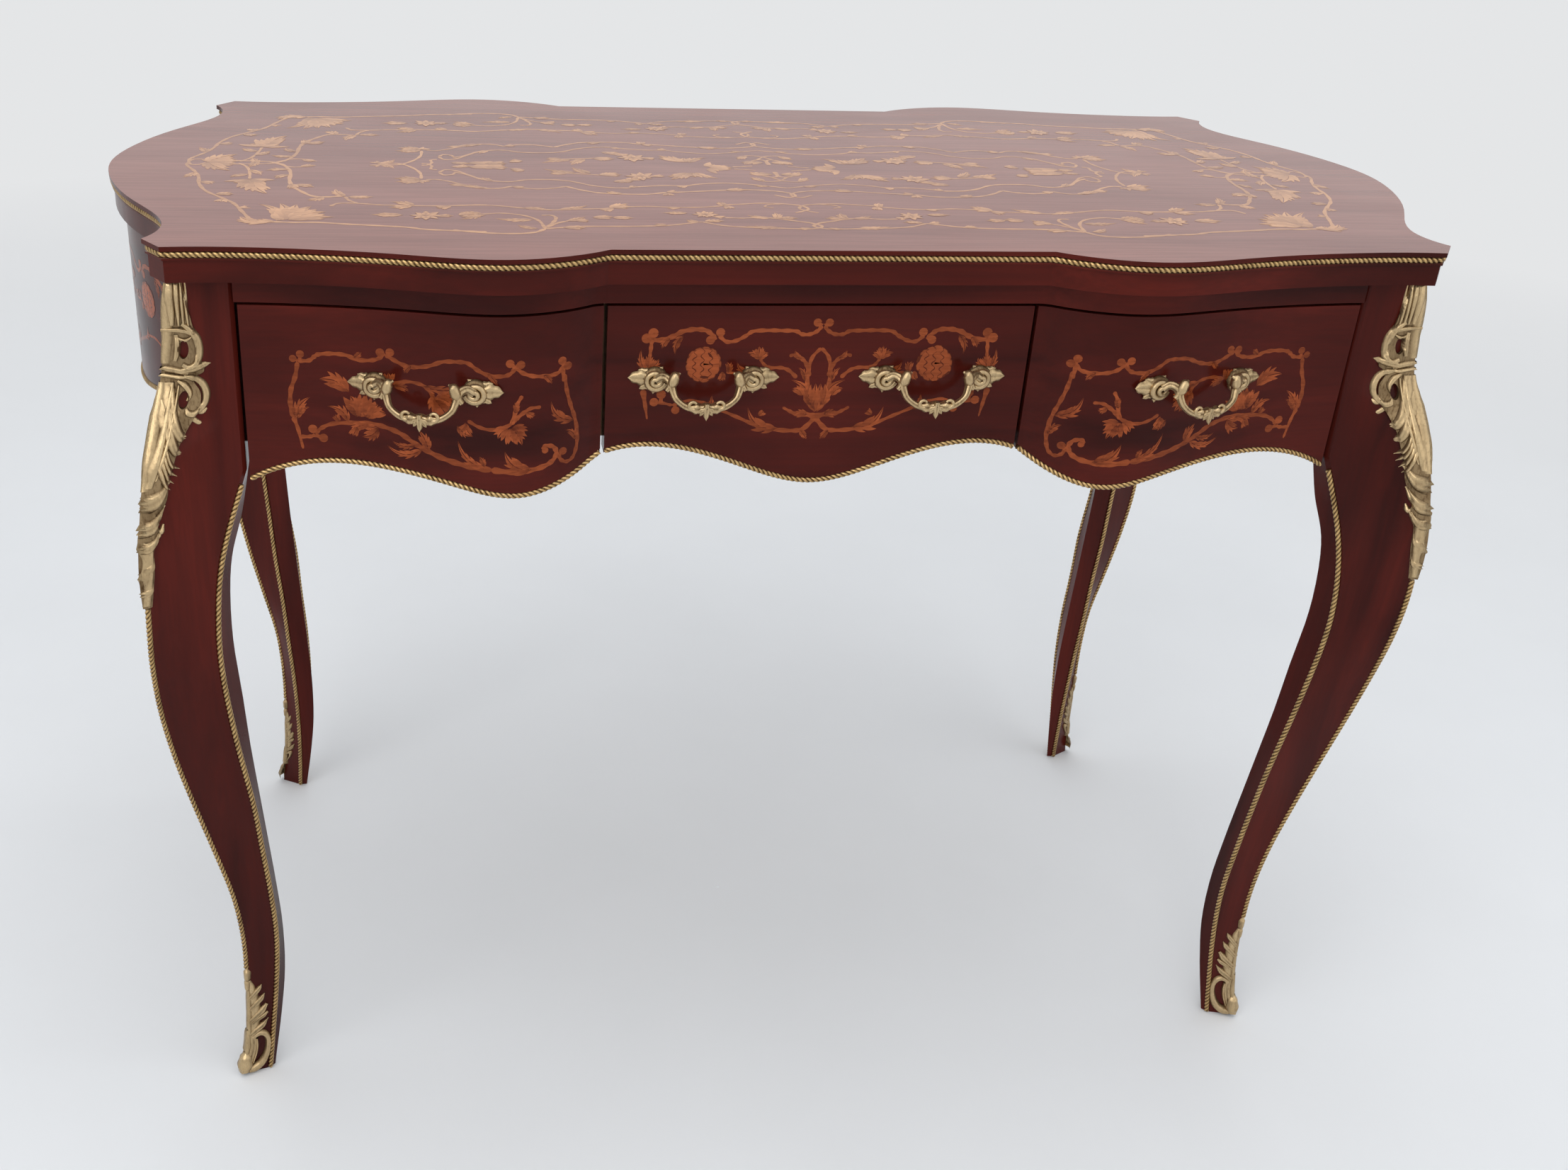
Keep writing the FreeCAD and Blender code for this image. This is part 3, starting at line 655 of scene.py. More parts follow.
class LegSkin:
    """Outer faces of the front right leg: a place is given by its height and its distance round the arris."""

    MARGIN = 0.0005  # from the ends of the leg to its first and last section
    COUNT = 150  # sections
    BACK = -0.026  # only points of a section before this one count
    NEAR = 0.0012  # points this near to the arris are averaged
    ROUNDING = 0.012  # width over which the way out turns from one face to the other
    ABOVE, LOOK = 0.03, 0.034  # where a ray on to the casting starts, and how far it goes
    CORNERS = {"arris": (0.8, 0.6), "front": (-0.6, 0.8), "side": (0.6, -0.8)}

    def __init__(self, sizes, cover):
        self.centre = Vector((sizes.leg_out, -sizes.leg_forward, 0))
        edges = [e for part in edge_lists("front_right_leg") for e in part]
        self.high = max(p.z for e in edges for p in e) - self.MARGIN
        raw = {name: [] for name in self.CORNERS}
        for k in range(self.COUNT + 1):
            level = self.MARGIN + (self.high - self.MARGIN) * k / self.COUNT
            near = [e for e in edges if min(e[0].z, e[1].z) <= level <= max(e[0].z, e[1].z)]
            cut = crossing(near, Vector((0, 0, level)), Vector((0, 0, 1)))
            local = [(p.x - self.centre.x, self.centre.y - p.y) for p in cut]
            local = [p for p in local if p[1] > self.BACK]
            for name, way in self.CORNERS.items():
                reach = [p[0] * way[0] + p[1] * way[1] for p in local]
                top = max(reach)
                best = local[reach.index(top)]
                if name == "arris":
                    close = [p for p, far in zip(local, reach) if top - far < self.NEAR]
                    best = [sum(p[i] for p in close) / len(close) for i in (0, 1)]
                raw[name].append(Vector(best))
        self.lines = {name: self.smoothed(points) for name, points in raw.items()}
        self.cover = caster(cover)

    @staticmethod
    def smoothed(points):
        last = len(points) - 1
        return [sum((points[min(max(i + d, 0), last)] for d in (-2, -1, 0, 1, 2)), Vector((0, 0))) / 5
                for i in range(last + 1)]

    def corner(self, name, level):
        place = min(max(level / self.high, 0.0), 1.0) * self.COUNT
        low = min(int(place), self.COUNT - 1)
        return self.lines[name][low].lerp(self.lines[name][low + 1], place - low)

    def narrowing(self, level):
        """How much narrower the side face is than the front face at a height."""
        arris = self.corner("arris", level)
        front = (self.corner("front", level) - arris).length
        return min(1.0, (self.corner("side", level) - arris).length / max(front, 1e-6))

    def place(self, level, around):
        """Point on the casting or on the leg, and the way out of it."""
        arris = self.corner("arris", level)
        front = (self.corner("front", level) - arris).normalized()
        side = (self.corner("side", level) - arris).normalized()
        out_front = Vector((front.y, -front.x))
        out_front = out_front if out_front.y > 0 else -out_front
        out_side = Vector((side.y, -side.x))
        out_side = out_side if out_side.x > 0 else -out_side
        share = min(max(around / self.ROUNDING + 0.5, 0.0), 1.0)
        share = share * share * (3 - 2 * share)
        out = (out_front * (1 - share) + out_side * share).normalized()
        spot = arris + (front * -around if around < 0 else side * around)
        point = Vector((self.centre.x + spot.x, self.centre.y - spot.y, level))
        way = Vector((out.x, -out.y, 0))
        hit = self.cover.ray_cast(point + way * self.ABOVE, -way, self.LOOK)
        return point if hit[0] is None else hit[0], way


# Share of the relief on a leg's side face, and how deep a ridge's edge is sunk in, in mm
SIDE_RELIEF, SUNK = 0.75, 0.35


def ridge(shape, skin, path, widths, heights, mirror, vein=0.0, columns=7, parts=5):
    """Rounded ridge or leaf laid on a leg; path points are distance round the arris and height, in mm."""
    sign, relief = (1, SIDE_RELIEF) if mirror else (-1, 1.0)
    line = [Vector((p[0] * sign, p[1])) for p in flowing(path, parts)]
    ways = directions(line)
    rows = []
    marks = []
    for i, (point, way) in enumerate(zip(line, ways)):
        share = i / (len(line) - 1)
        half = value_along(widths, share)
        tall = value_along(heights, share)
        across = Vector((-way.y, way.x))
        row = []
        mark = []
        for k in range(columns):
            u = 2 * k / (columns - 1) - 1
            spot = point + across * (half * u)
            if mirror:
                spot.x *= skin.narrowing(spot.y * MM)
            base, out = skin.place(spot.y * MM, spot.x * MM)
            row.append(base + out * ((tall * relief * domed(u, vein, 0.22) - SUNK) * MM))
            mark.append(shaded(u, 0.75, 0.45, vein * 0.8, 0.25))
        rows.append(row)
        marks.append(mark)
    shape.strip(rows, marks)


# Castings on the legs: a path of (distance round the arris, height), half widths, heights and depth of the
# vein, all in millimetres. Lines lie on both faces of a leg, crests along or across its arris.
MOUNT_LINES = [
    ([(0.9, 757), (1.4, 745), (2.0, 733), (2.2, 723)], [1.1, 1.5, 1.4, 0.9], [2.0, 2.8, 2.8, 2.0], 0.0),
    ([(3.2, 757), (4.0, 745), (4.8, 733), (5.2, 723)], [1.2, 1.6, 1.5, 1.0], [2.2, 3.2, 3.0, 2.0], 0.0),
    ([(5.8, 756), (6.8, 744), (7.8, 732), (8.6, 722)], [1.2, 1.6, 1.5, 1.0], [2.0, 3.0, 2.8, 1.8], 0.0),
    ([(8.4, 754), (9.4, 743), (10.6, 731), (12.0, 721)], [1.0, 1.5, 1.4, 0.9], [1.6, 2.4, 2.4, 1.6], 0.0),
    ([(0, 719.5), (6, 719.5), (12, 717.5), (15.5, 714)], [1.6, 2.0, 1.8, 0.8], [3.2, 3.6, 3.2, 1.8], 0.2),
    ([(4.5, 713.5), (9.5, 711.5), (14.5, 714)], [1.0, 1.8, 0.8], [2.2, 3.2, 1.6], 0.2),
    ([(7, 724), (13, 719), (18, 711), (19.8, 702), (18.5, 694), (13.5, 690.5), (8.5, 693)],
     [1.6, 2.6, 3.0, 3.0, 2.8, 2.6, 2.0], [2.0, 3.2, 3.6, 3.6, 3.2, 3.2, 2.6], 0.2),
    ([(3.6, 716), (4.6, 709), (4.6, 702), (3.6, 696)], [1.2, 1.9, 1.9, 1.2], [1.8, 3.2, 3.2, 2.0], 0.3),
    ([(8, 688), (16, 690), (23, 691.5), (28.5, 693)], [2.6, 3.6, 2.8, 0.4], [3.0, 3.4, 2.4, 0.8], 0.3),
    ([(0, 690), (7, 688), (13, 686)], [2.4, 2.4, 1.2], [3.0, 3.0, 1.6], 0.2),
    ([(0, 685), (7, 683.5), (15, 683)], [1.8, 2.0, 1.0], [2.8, 2.8, 1.4], 0.0),
    ([(10, 684), (17, 682), (24, 677), (28, 669), (27.5, 661.5), (22.5, 656.5), (17, 657.5), (15, 661)],
     [1.6, 2.6, 3.0, 3.2, 3.0, 2.8, 2.4, 1.2], [2.0, 3.2, 3.6, 3.8, 3.6, 3.2, 2.8, 1.6], 0.2),
    ([(6, 681), (12, 677), (16, 671), (15, 665)], [1.4, 2.4, 2.2, 1.2], [2.0, 3.2, 3.0, 1.8], 0.2),
    ([(23, 658), (28, 657), (31.5, 661)], [2.6, 2.6, 0.3], [2.8, 2.6, 0.6], 0.2),
    ([(22, 652), (27, 649), (30, 650)], [2.2, 2.0, 0.3], [2.6, 2.0, 0.6], 0.2),
    ([(2, 680), (4, 665), (8, 651), (15, 641), (23, 639)], [2.0, 3.4, 4.2, 3.6, 0.4],
     [2.6, 3.8, 4.0, 3.0, 0.8], 0.35),
    ([(1.5, 668), (3.5, 653), (8, 639), (14, 630), (20, 628)], [1.8, 3.2, 4.0, 3.2, 0.4],
     [2.6, 3.8, 4.0, 3.0, 0.8], 0.35),
    ([(3.4, 680), (3.2, 664), (2.7, 646), (1.6, 624), (0.6, 608)], [1.0, 1.5, 1.6, 1.5, 0.6],
     [2.6, 3.6, 3.8, 3.6, 1.6], 0.0),
    ([(7.2, 678), (6.8, 662), (5.4, 645), (3.4, 627), (1.8, 613)], [1.0, 1.5, 1.6, 1.4, 0.5],
     [2.4, 3.4, 3.6, 3.4, 1.4], 0.0),
    ([(2.5, 641), (7, 628), (12, 620.5), (18.5, 617)], [1.0, 1.7, 1.8, 0.4], [2.4, 3.8, 3.6, 1.0], 0.0),
    ([(2.0, 637), (6.2, 624), (11, 616), (17.5, 611.5)], [1.0, 1.7, 1.8, 0.4], [2.4, 3.8, 3.6, 1.0], 0.0),
    ([(1.6, 633), (5.2, 620), (9.6, 611.5), (15.5, 606.5)], [1.0, 1.7, 1.8, 0.4], [2.4, 3.8, 3.6, 1.0], 0.0),
    ([(1.2, 629), (4.0, 616), (8.0, 607.5), (13, 602.5)], [1.0, 1.6, 1.7, 0.4], [2.4, 3.8, 3.4, 1.0], 0.0),
]
MOUNT_CREST = [
    ([(0, 757), (0, 735), (0, 712), (0, 694)], [1.8, 2.6, 2.2, 1.6], [1.6, 2.4, 2.2, 1.6], 0.0),
    ([(0, 680), (0, 655), (0, 630), (0, 606)], [1.0, 1.6, 1.5, 0.6], [2.2, 3.4, 3.2, 1.4], 0.0),
    ([(-7, 589), (-3, 592), (3, 599), (11, 609)], [2.4, 4.6, 5.0, 2.2], [0.4, 3.6, 4.2, 2.0], 0.35),
    ([(-5.5, 571), (-1, 575), (4.5, 582.5), (10, 592)], [1.8, 3.6, 4.0, 1.4], [0.4, 3.4, 4.0, 1.6], 0.35),
    ([(5.5, 569.5), (8.8, 573), (10.5, 578)], [1.6, 3.0, 1.2], [1.6, 3.8, 1.8], 0.0),
    ([(-4, 557), (0, 561.5), (3.5, 567), (6, 573)], [1.6, 2.6, 2.8, 1.0], [0.4, 3.0, 3.4, 1.4], 0.3),
    ([(0.6, 568), (1.2, 552), (0.6, 536), (0, 517)], [2.4, 2.6, 2.4, 1.4], [2.4, 2.8, 2.6, 1.2], 0.25),
    ([(0.6, 543), (2.0, 548), (3.2, 555)], [1.2, 2.3, 0.8], [2.4, 3.6, 1.4], 0.3),
    ([(0.2, 525), (1.4, 529), (2.4, 535)], [1.0, 1.9, 0.6], [2.0, 3.1, 1.2], 0.3),
]
SABOT_LINES = [
    ([(3.6, 38), (4.8, 50), (5.4, 64), (4.6, 80), (3.0, 94), (1.2, 104)],
     [4.6, 5.0, 5.6, 4.8, 3.2, 1.2], [2.2, 2.4, 2.4, 2.3, 2.1, 1.6], 0.0),
    ([(1.5, 84), (5.5, 90), (9.0, 94), (11.5, 98.5)], [2.2, 2.8, 2.4, 0.4], [3.6, 4.2, 3.4, 1.4], 0.45),
    ([(1.5, 72), (6.0, 78), (10.5, 82.5), (14, 88)], [2.4, 3.2, 2.8, 0.4], [3.6, 4.2, 3.6, 1.4], 0.45),
    ([(1.5, 59), (6.5, 64.5), (11.5, 69), (16, 75.5)], [2.6, 3.4, 3.6, 1.6], [3.6, 4.4, 4.0, 2.0], 0.45),
    ([(3.0, 56), (8.0, 60.5), (12.5, 63), (16.8, 66)], [1.6, 2.4, 2.6, 1.2], [3.2, 4.2, 3.8, 1.8], 0.35),
    ([(1.5, 43), (6.5, 48), (12, 52), (17.5, 59)], [2.6, 3.4, 3.2, 0.4], [3.6, 4.4, 4.0, 1.4], 0.45),
    ([(4.5, 40), (9.5, 43.5), (14.5, 42), (18.2, 36), (19.4, 27.5), (18.2, 18), (14.6, 10), (9, 6),
      (3.5, 5.5)],
     [2.4, 3.0, 3.0, 2.8, 3.0, 3.6, 4.4, 4.8, 4.0], [3.2, 3.8, 3.8, 3.6, 3.8, 4.4, 5.2, 5.8, 6.2], 0.15),
    ([(3.6, 42), (5.2, 34), (5.0, 25), (3.6, 15)], [3.4, 4.2, 4.0, 3.2], [3.4, 4.2, 4.6, 5.4], 0.55),
    ([(7.6, 39), (8.6, 31), (8.2, 22), (6.0, 13)], [1.2, 1.6, 1.6, 1.4], [3.6, 4.0, 4.2, 4.8], 0.0),
]
SABOT_CREST = [
    ([(0, 118), (0, 113), (0, 107), (0, 102)], [0.8, 3.0, 2.6, 1.2], [2.4, 4.4, 4.2, 3.0], 0.0),
    ([(0, 106), (0, 101), (0, 96), (0, 92)], [1.2, 2.6, 2.4, 1.2], [3.0, 4.2, 4.0, 3.0], 0.0),
    ([(0, 96), (0, 80), (0, 62), (0, 40)], [2.2, 2.8, 3.2, 4.0], [3.0, 3.4, 3.6, 3.8], 0.35),
    ([(0, 50), (0, 41), (0, 30), (0, 20)], [1.6, 3.0, 3.6, 3.2], [3.6, 5.0, 5.2, 4.8], 0.4),
    ([(0, 26), (0, 19), (0, 11), (0, 4.5)], [2.4, 5.6, 7.2, 6.0], [3.6, 7.2, 8.4, 6.8], 0.0),
]


def casting(skin, lines, crest):
    shape = Shape()
    for path, widths, heights, vein in lines:
        for mirror in (False, True):
            ridge(shape, skin, path, widths, heights, mirror, vein)
    for path, widths, heights, vein in crest:
        ridge(shape, skin, path, widths, heights, False, vein, parts=8)
    return shape


def on_four_legs(name, shape, finish, stands_for=None):
    for ends, fore in (("front", 1), ("back", -1)):
        for hand, sign in (("left", -1), ("right", 1)):
            leg = ends + "_" + hand + "_"
            change = Matrix.Diagonal((sign, fore, 1, 1))
            piece = make_piece(leg + name, shape.moved(change), finish, "carcass")
            if stands_for:
                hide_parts(leg + stands_for)


# Inlay

# Stems of the right half of the centre drawer: width at each end and the points they run through, in mm
CENTER_STEMS = [
    (3.4, 3, [(135.4, 710.9), (125.1, 710.1), (115.9, 713), (108.7, 716.9), (99.4, 718.6), (90.9, 717.8),
      (85.7, 714.1), (82.8, 710.2)]),
    (2.6, 2.6, [(80.4, 713.7), (74.4, 708.8), (66.9, 709.6), (59.6, 713.5), (54.2, 717), (42.9, 717.7),
      (31.6, 717.5), (21.1, 717.1), (16.1, 714.6), (9.5, 714.7), (4, 717.5), (1.1, 721.4)]),
    (2.8, 2.2, [(131.8, 710.3), (132.2, 704.5), (132.9, 696.3)]),
    (4, 1, [(137.2, 670.1), (134.9, 657.1), (133, 645.9)]),
    (2.4, 2, [(131.4, 658.6), (122.9, 659.4), (114, 657.3)]),
    (2, 3.6, [(87.6, 659.1), (76.7, 653.5), (62.8, 647.3), (48.8, 641), (34.9, 636.8), (19.1, 635.2),
      (9.5, 636.5), (2.2, 643.7), (-0.5, 647.8)]),
    (4.2, 1.6, [(-0.6, 646.9), (8.6, 649.1), (16, 649.5), (21.5, 652), (26.6, 654.9)]),
    (3, 2.2, [(8.5, 670.2), (8.7, 684.3), (6.5, 695.8), (0.2, 703.5)]),
    (3.2, 2, [(7.8, 680.3), (10.1, 689.3), (14.4, 694.7), (20.1, 697.9), (24.6, 697.1)]),
    (2.6, 2.2, [(17.4, 679.3), (24.2, 685.4), (31.1, 687.6), (40.7, 687.2), (52, 685.3), (59.7, 686.1)]),
    (2.2, 2, [(38.8, 687.6), (43.7, 690), (47.3, 694.8)]),
    (2, 2, [(53.8, 683.7), (63.3, 683), (72.9, 684.2)]),
    (2.2, 3.6, [(132.9, 696.3), (134.6, 683), (137.2, 670.1)]),
    (2, 2, [(114, 657.3), (101, 661), (87.6, 659.1)]),
]
# Leaves of the right half of the centre drawer: width, bow, base and tip
CENTER_LEAVES = [
    (5.5, 8, (117.7, 711.9), (123.7, 702.9)), (6, 10, (107.6, 713.8), (113.3, 698.2)),
    (6, -8, (134.3, 684), (139.4, 703)), (7, 0, (134.2, 684.9), (132.4, 701)),
    (6, 10, (133.5, 687.9), (125.8, 695.5)), (5, 0, (127.7, 682.9), (121.1, 686.5)),
    (5, 0, (11.4, 635.9), (4.8, 627.5)), (10, -14, (29.1, 637.7), (54.3, 655.2)),
    (5, 0, (45.5, 648.2), (40.9, 651.8)), (5, -10, (78.6, 652.5), (82.8, 665.9)),
    (7, 10, (6.6, 648.6), (16.6, 647.5)), (13, 0, (-1, 650.8), (-2, 674.6)),
    (12, 10, (0.6, 651.9), (12.3, 670.3)), (9, 14, (7.2, 656), (21.6, 677.4)),
    (9, -8, (3.3, 656), (5.3, 674.2)), (7, 12, (11.8, 664.2), (20.5, 670.3)),
    (4.5, -10, (14.4, 694.7), (20.4, 702.2)), (5, 10, (10.9, 676.3), (17.3, 687.9)),
    (6, -16, (53.9, 685.3), (65, 692.5)), (6, 10, (47.3, 694), (57.9, 699.6)),
    (7, 0, (47.3, 694.4), (49, 705.4)), (6, -10, (47.3, 694), (40.8, 699.9)),
    (6, 10, (71.9, 683.6), (73.4, 692.5)), (6, -8, (76.3, 684.6), (78.5, 676.7)),
    (5, 0, (40.3, 682.5), (47.8, 680.5)),
]
# Blooms of the right half of the centre drawer: radius and centre
CENTER_BLOOMS = [(14.5, (91.3, 690.7))]
# Round scroll ends of the right half of the centre drawer: radius and centre
CENTER_ENDS = [(3.4, (130.8, 715.7)), (3.4, (135.8, 711.5)), (3, (79.4, 716.2)), (3, (86.9, 710)),
    (2.8, (4.7, 723.9)), (3.2, (122.8, 666.2)), (3, (128.2, 660)), (2.8, (111.2, 653.2))]

# Stems of the right drawer: width at each end and the points they run through, in mm
SIDE_STEMS = [
    (2.6, 2.6, [(395.3, 695.2), (387.5, 695.6), (383.2, 698.8), (379.8, 700.7), (369.9, 701.7),
      (360, 701), (351.9, 697.9), (342, 698), (335.3, 700.4), (331.8, 704.5)]),
    (2.6, 2.6, [(331, 703.1), (325.4, 699.7), (317.2, 695.8), (309, 695.1), (299.1, 697), (289.1, 701),
      (279.2, 701.7), (271, 701.2), (264.5, 696.6), (256.3, 692.6), (246.4, 691.7), (239.7, 693.6),
      (235.5, 699.1)]),
    (2.6, 2.6, [(235.5, 698.6), (231, 694), (222.9, 690.7), (212.7, 689.7), (204.1, 690.8),
      (199.6, 695.5)]),
    (2.6, 3, [(395.7, 694.1), (398, 682.9), (401.8, 672), (402.8, 660.3), (401.3, 650.3)]),
    (3, 1.6, [(401.3, 650.3), (398.4, 641.3), (395.3, 624.8)]),
    (2.4, 2.4, [(396.5, 634.6), (390, 634.8), (385.7, 636.3)]),
    (2.4, 4, [(385.1, 637.8), (380.3, 642.4), (372, 646), (357.3, 647.5), (342.8, 647.6), (331, 644.9),
      (321.1, 640.8), (312.2, 634.6), (303.2, 629.5), (292.3, 624.5), (279.6, 620.6), (266.8, 618),
      (254, 616.3)]),
    (4, 2.4, [(254, 616.3), (239.2, 614.4), (226.2, 614.5), (213.9, 616.7), (206.9, 620.7),
      (204.3, 626.7), (207.1, 631.8), (212.8, 633.5), (215.4, 630.9)]),
    (2.4, 2.4, [(202.6, 624.4), (200.4, 619.5), (195.7, 617.3), (191, 620.3), (188.4, 628.4),
      (187.9, 639.4), (190.1, 651.9), (193.4, 662.6), (196.7, 675), (198.8, 689)]),
    (2.4, 2.4, [(200.1, 694.1), (199.4, 683.3)]),
    (2, 2.8, [(326.8, 680.8), (317.6, 683.2), (306.8, 682.2), (300.3, 678.3), (296, 669.7),
      (296.5, 659.7)]),
    (2.2, 2.4, [(271.5, 655.9), (263.2, 651.2), (253.2, 649.2), (241.3, 652.4), (234.6, 658.3)]),
    (3, 2, [(236.3, 657), (230.4, 661.7), (224.4, 665.2), (216.7, 665.5)]),
    (2.8, 2.2, [(238.8, 653), (236.3, 662), (234.6, 669.2), (230.9, 675.8)]),
]
# Leaves of the right drawer: width, bow, base and tip
SIDE_LEAVES = [
    (4, 0, (354.3, 699), (348, 704.1)), (5, 6, (312.3, 695.9), (317.7, 689.4)),
    (5, -6, (257.1, 693.3), (249.2, 683.1)), (5, -6, (215.2, 690.5), (208.3, 682.5)),
    (8, -8, (399.7, 648.6), (387.9, 666.9)), (6, 0, (400, 651.3), (399.3, 660.4)),
    (5, -10, (398.5, 648.6), (388, 659)), (7, 12, (360, 647.8), (375.6, 659.9)),
    (5, -6, (366.4, 648.2), (369.7, 654.3)), (8, 10, (344.6, 646.3), (360, 637.5)),
    (9, -10, (338.3, 644.4), (350.5, 636.8)), (5, 0, (350.1, 645.2), (337.4, 644.1)),
    (7, -14, (305, 630.3), (332.4, 631.3)), (5, -10, (310.4, 632.8), (328.6, 635.2)),
    (8, 4, (301, 629.3), (307.9, 644.9)), (7, -10, (257.7, 617), (279, 639.6)),
    (5, 6, (259.5, 618.6), (263.5, 627.3)), (12, -12, (223.4, 615.3), (244, 631.4)),
    (8, -12, (190.4, 650.8), (209.1, 669.2)), (6, 10, (188.9, 633.6), (197.7, 644)),
    (13, 10, (359, 672.1), (380.5, 681.2)), (6, 8, (361.2, 673.8), (372.8, 676.8)),
    (8, 0, (328.5, 679.5), (329.2, 689.2)), (7, 10, (329.3, 679.4), (336.8, 681.2)),
    (6, -8, (326, 678.8), (314.2, 675.3)), (17, 6, (353.8, 652.5), (358.1, 669.1)),
    (16, 0, (351.2, 652.7), (348.6, 664.6)), (15, -8, (347.1, 652.4), (337.4, 663.5)),
    (11, -14, (345.4, 651.4), (332.1, 656.7)), (9, 12, (354.6, 653.4), (360.8, 662.1)),
    (7, 8, (304.4, 680.9), (272.9, 684.2)), (12, -10, (295.4, 671.5), (282.4, 666)),
    (12, 0, (295.5, 670.6), (285.2, 657.1)), (9, 10, (295.9, 674.2), (291.5, 660.2)),
    (8, 10, (292.9, 674.4), (281.3, 670)), (5, 8, (227.8, 662.4), (220.6, 659.4)),
    (5, 10, (236.6, 662), (237, 671.1)), (10, 8, (241.3, 650.2), (249.1, 641.9)),
    (11, 0, (240, 650.3), (237.1, 638.3)), (10, -8, (238.8, 650.3), (228.6, 643)),
    (10, -4, (239.3, 650.1), (230.7, 635.8)), (6, 8, (273.2, 654.4), (267.5, 642.9)),
    (5, 0, (272.4, 652.6), (277.3, 646.8)), (7, 0, (354.1, 644.3), (357.5, 636.7)),
    (6, 8, (279.2, 651.4), (268.4, 643.4)),
]
# Round scroll ends of the right drawer: radius and centre
SIDE_ENDS = [(2.6, (393.5, 700.5)), (2.4, (399, 696.8)), (2.8, (334.9, 704.6)), (2.8, (327.7, 705.1)),
    (2.8, (240, 701.4)), (2.8, (232, 700.2)), (2.8, (200.7, 699.9)), (2.8, (196.4, 695.3)),
    (3, (387.2, 641.2)), (3, (379.6, 634.1)), (2.2, (213.1, 629.7)), (2.8, (199.3, 626.6))]

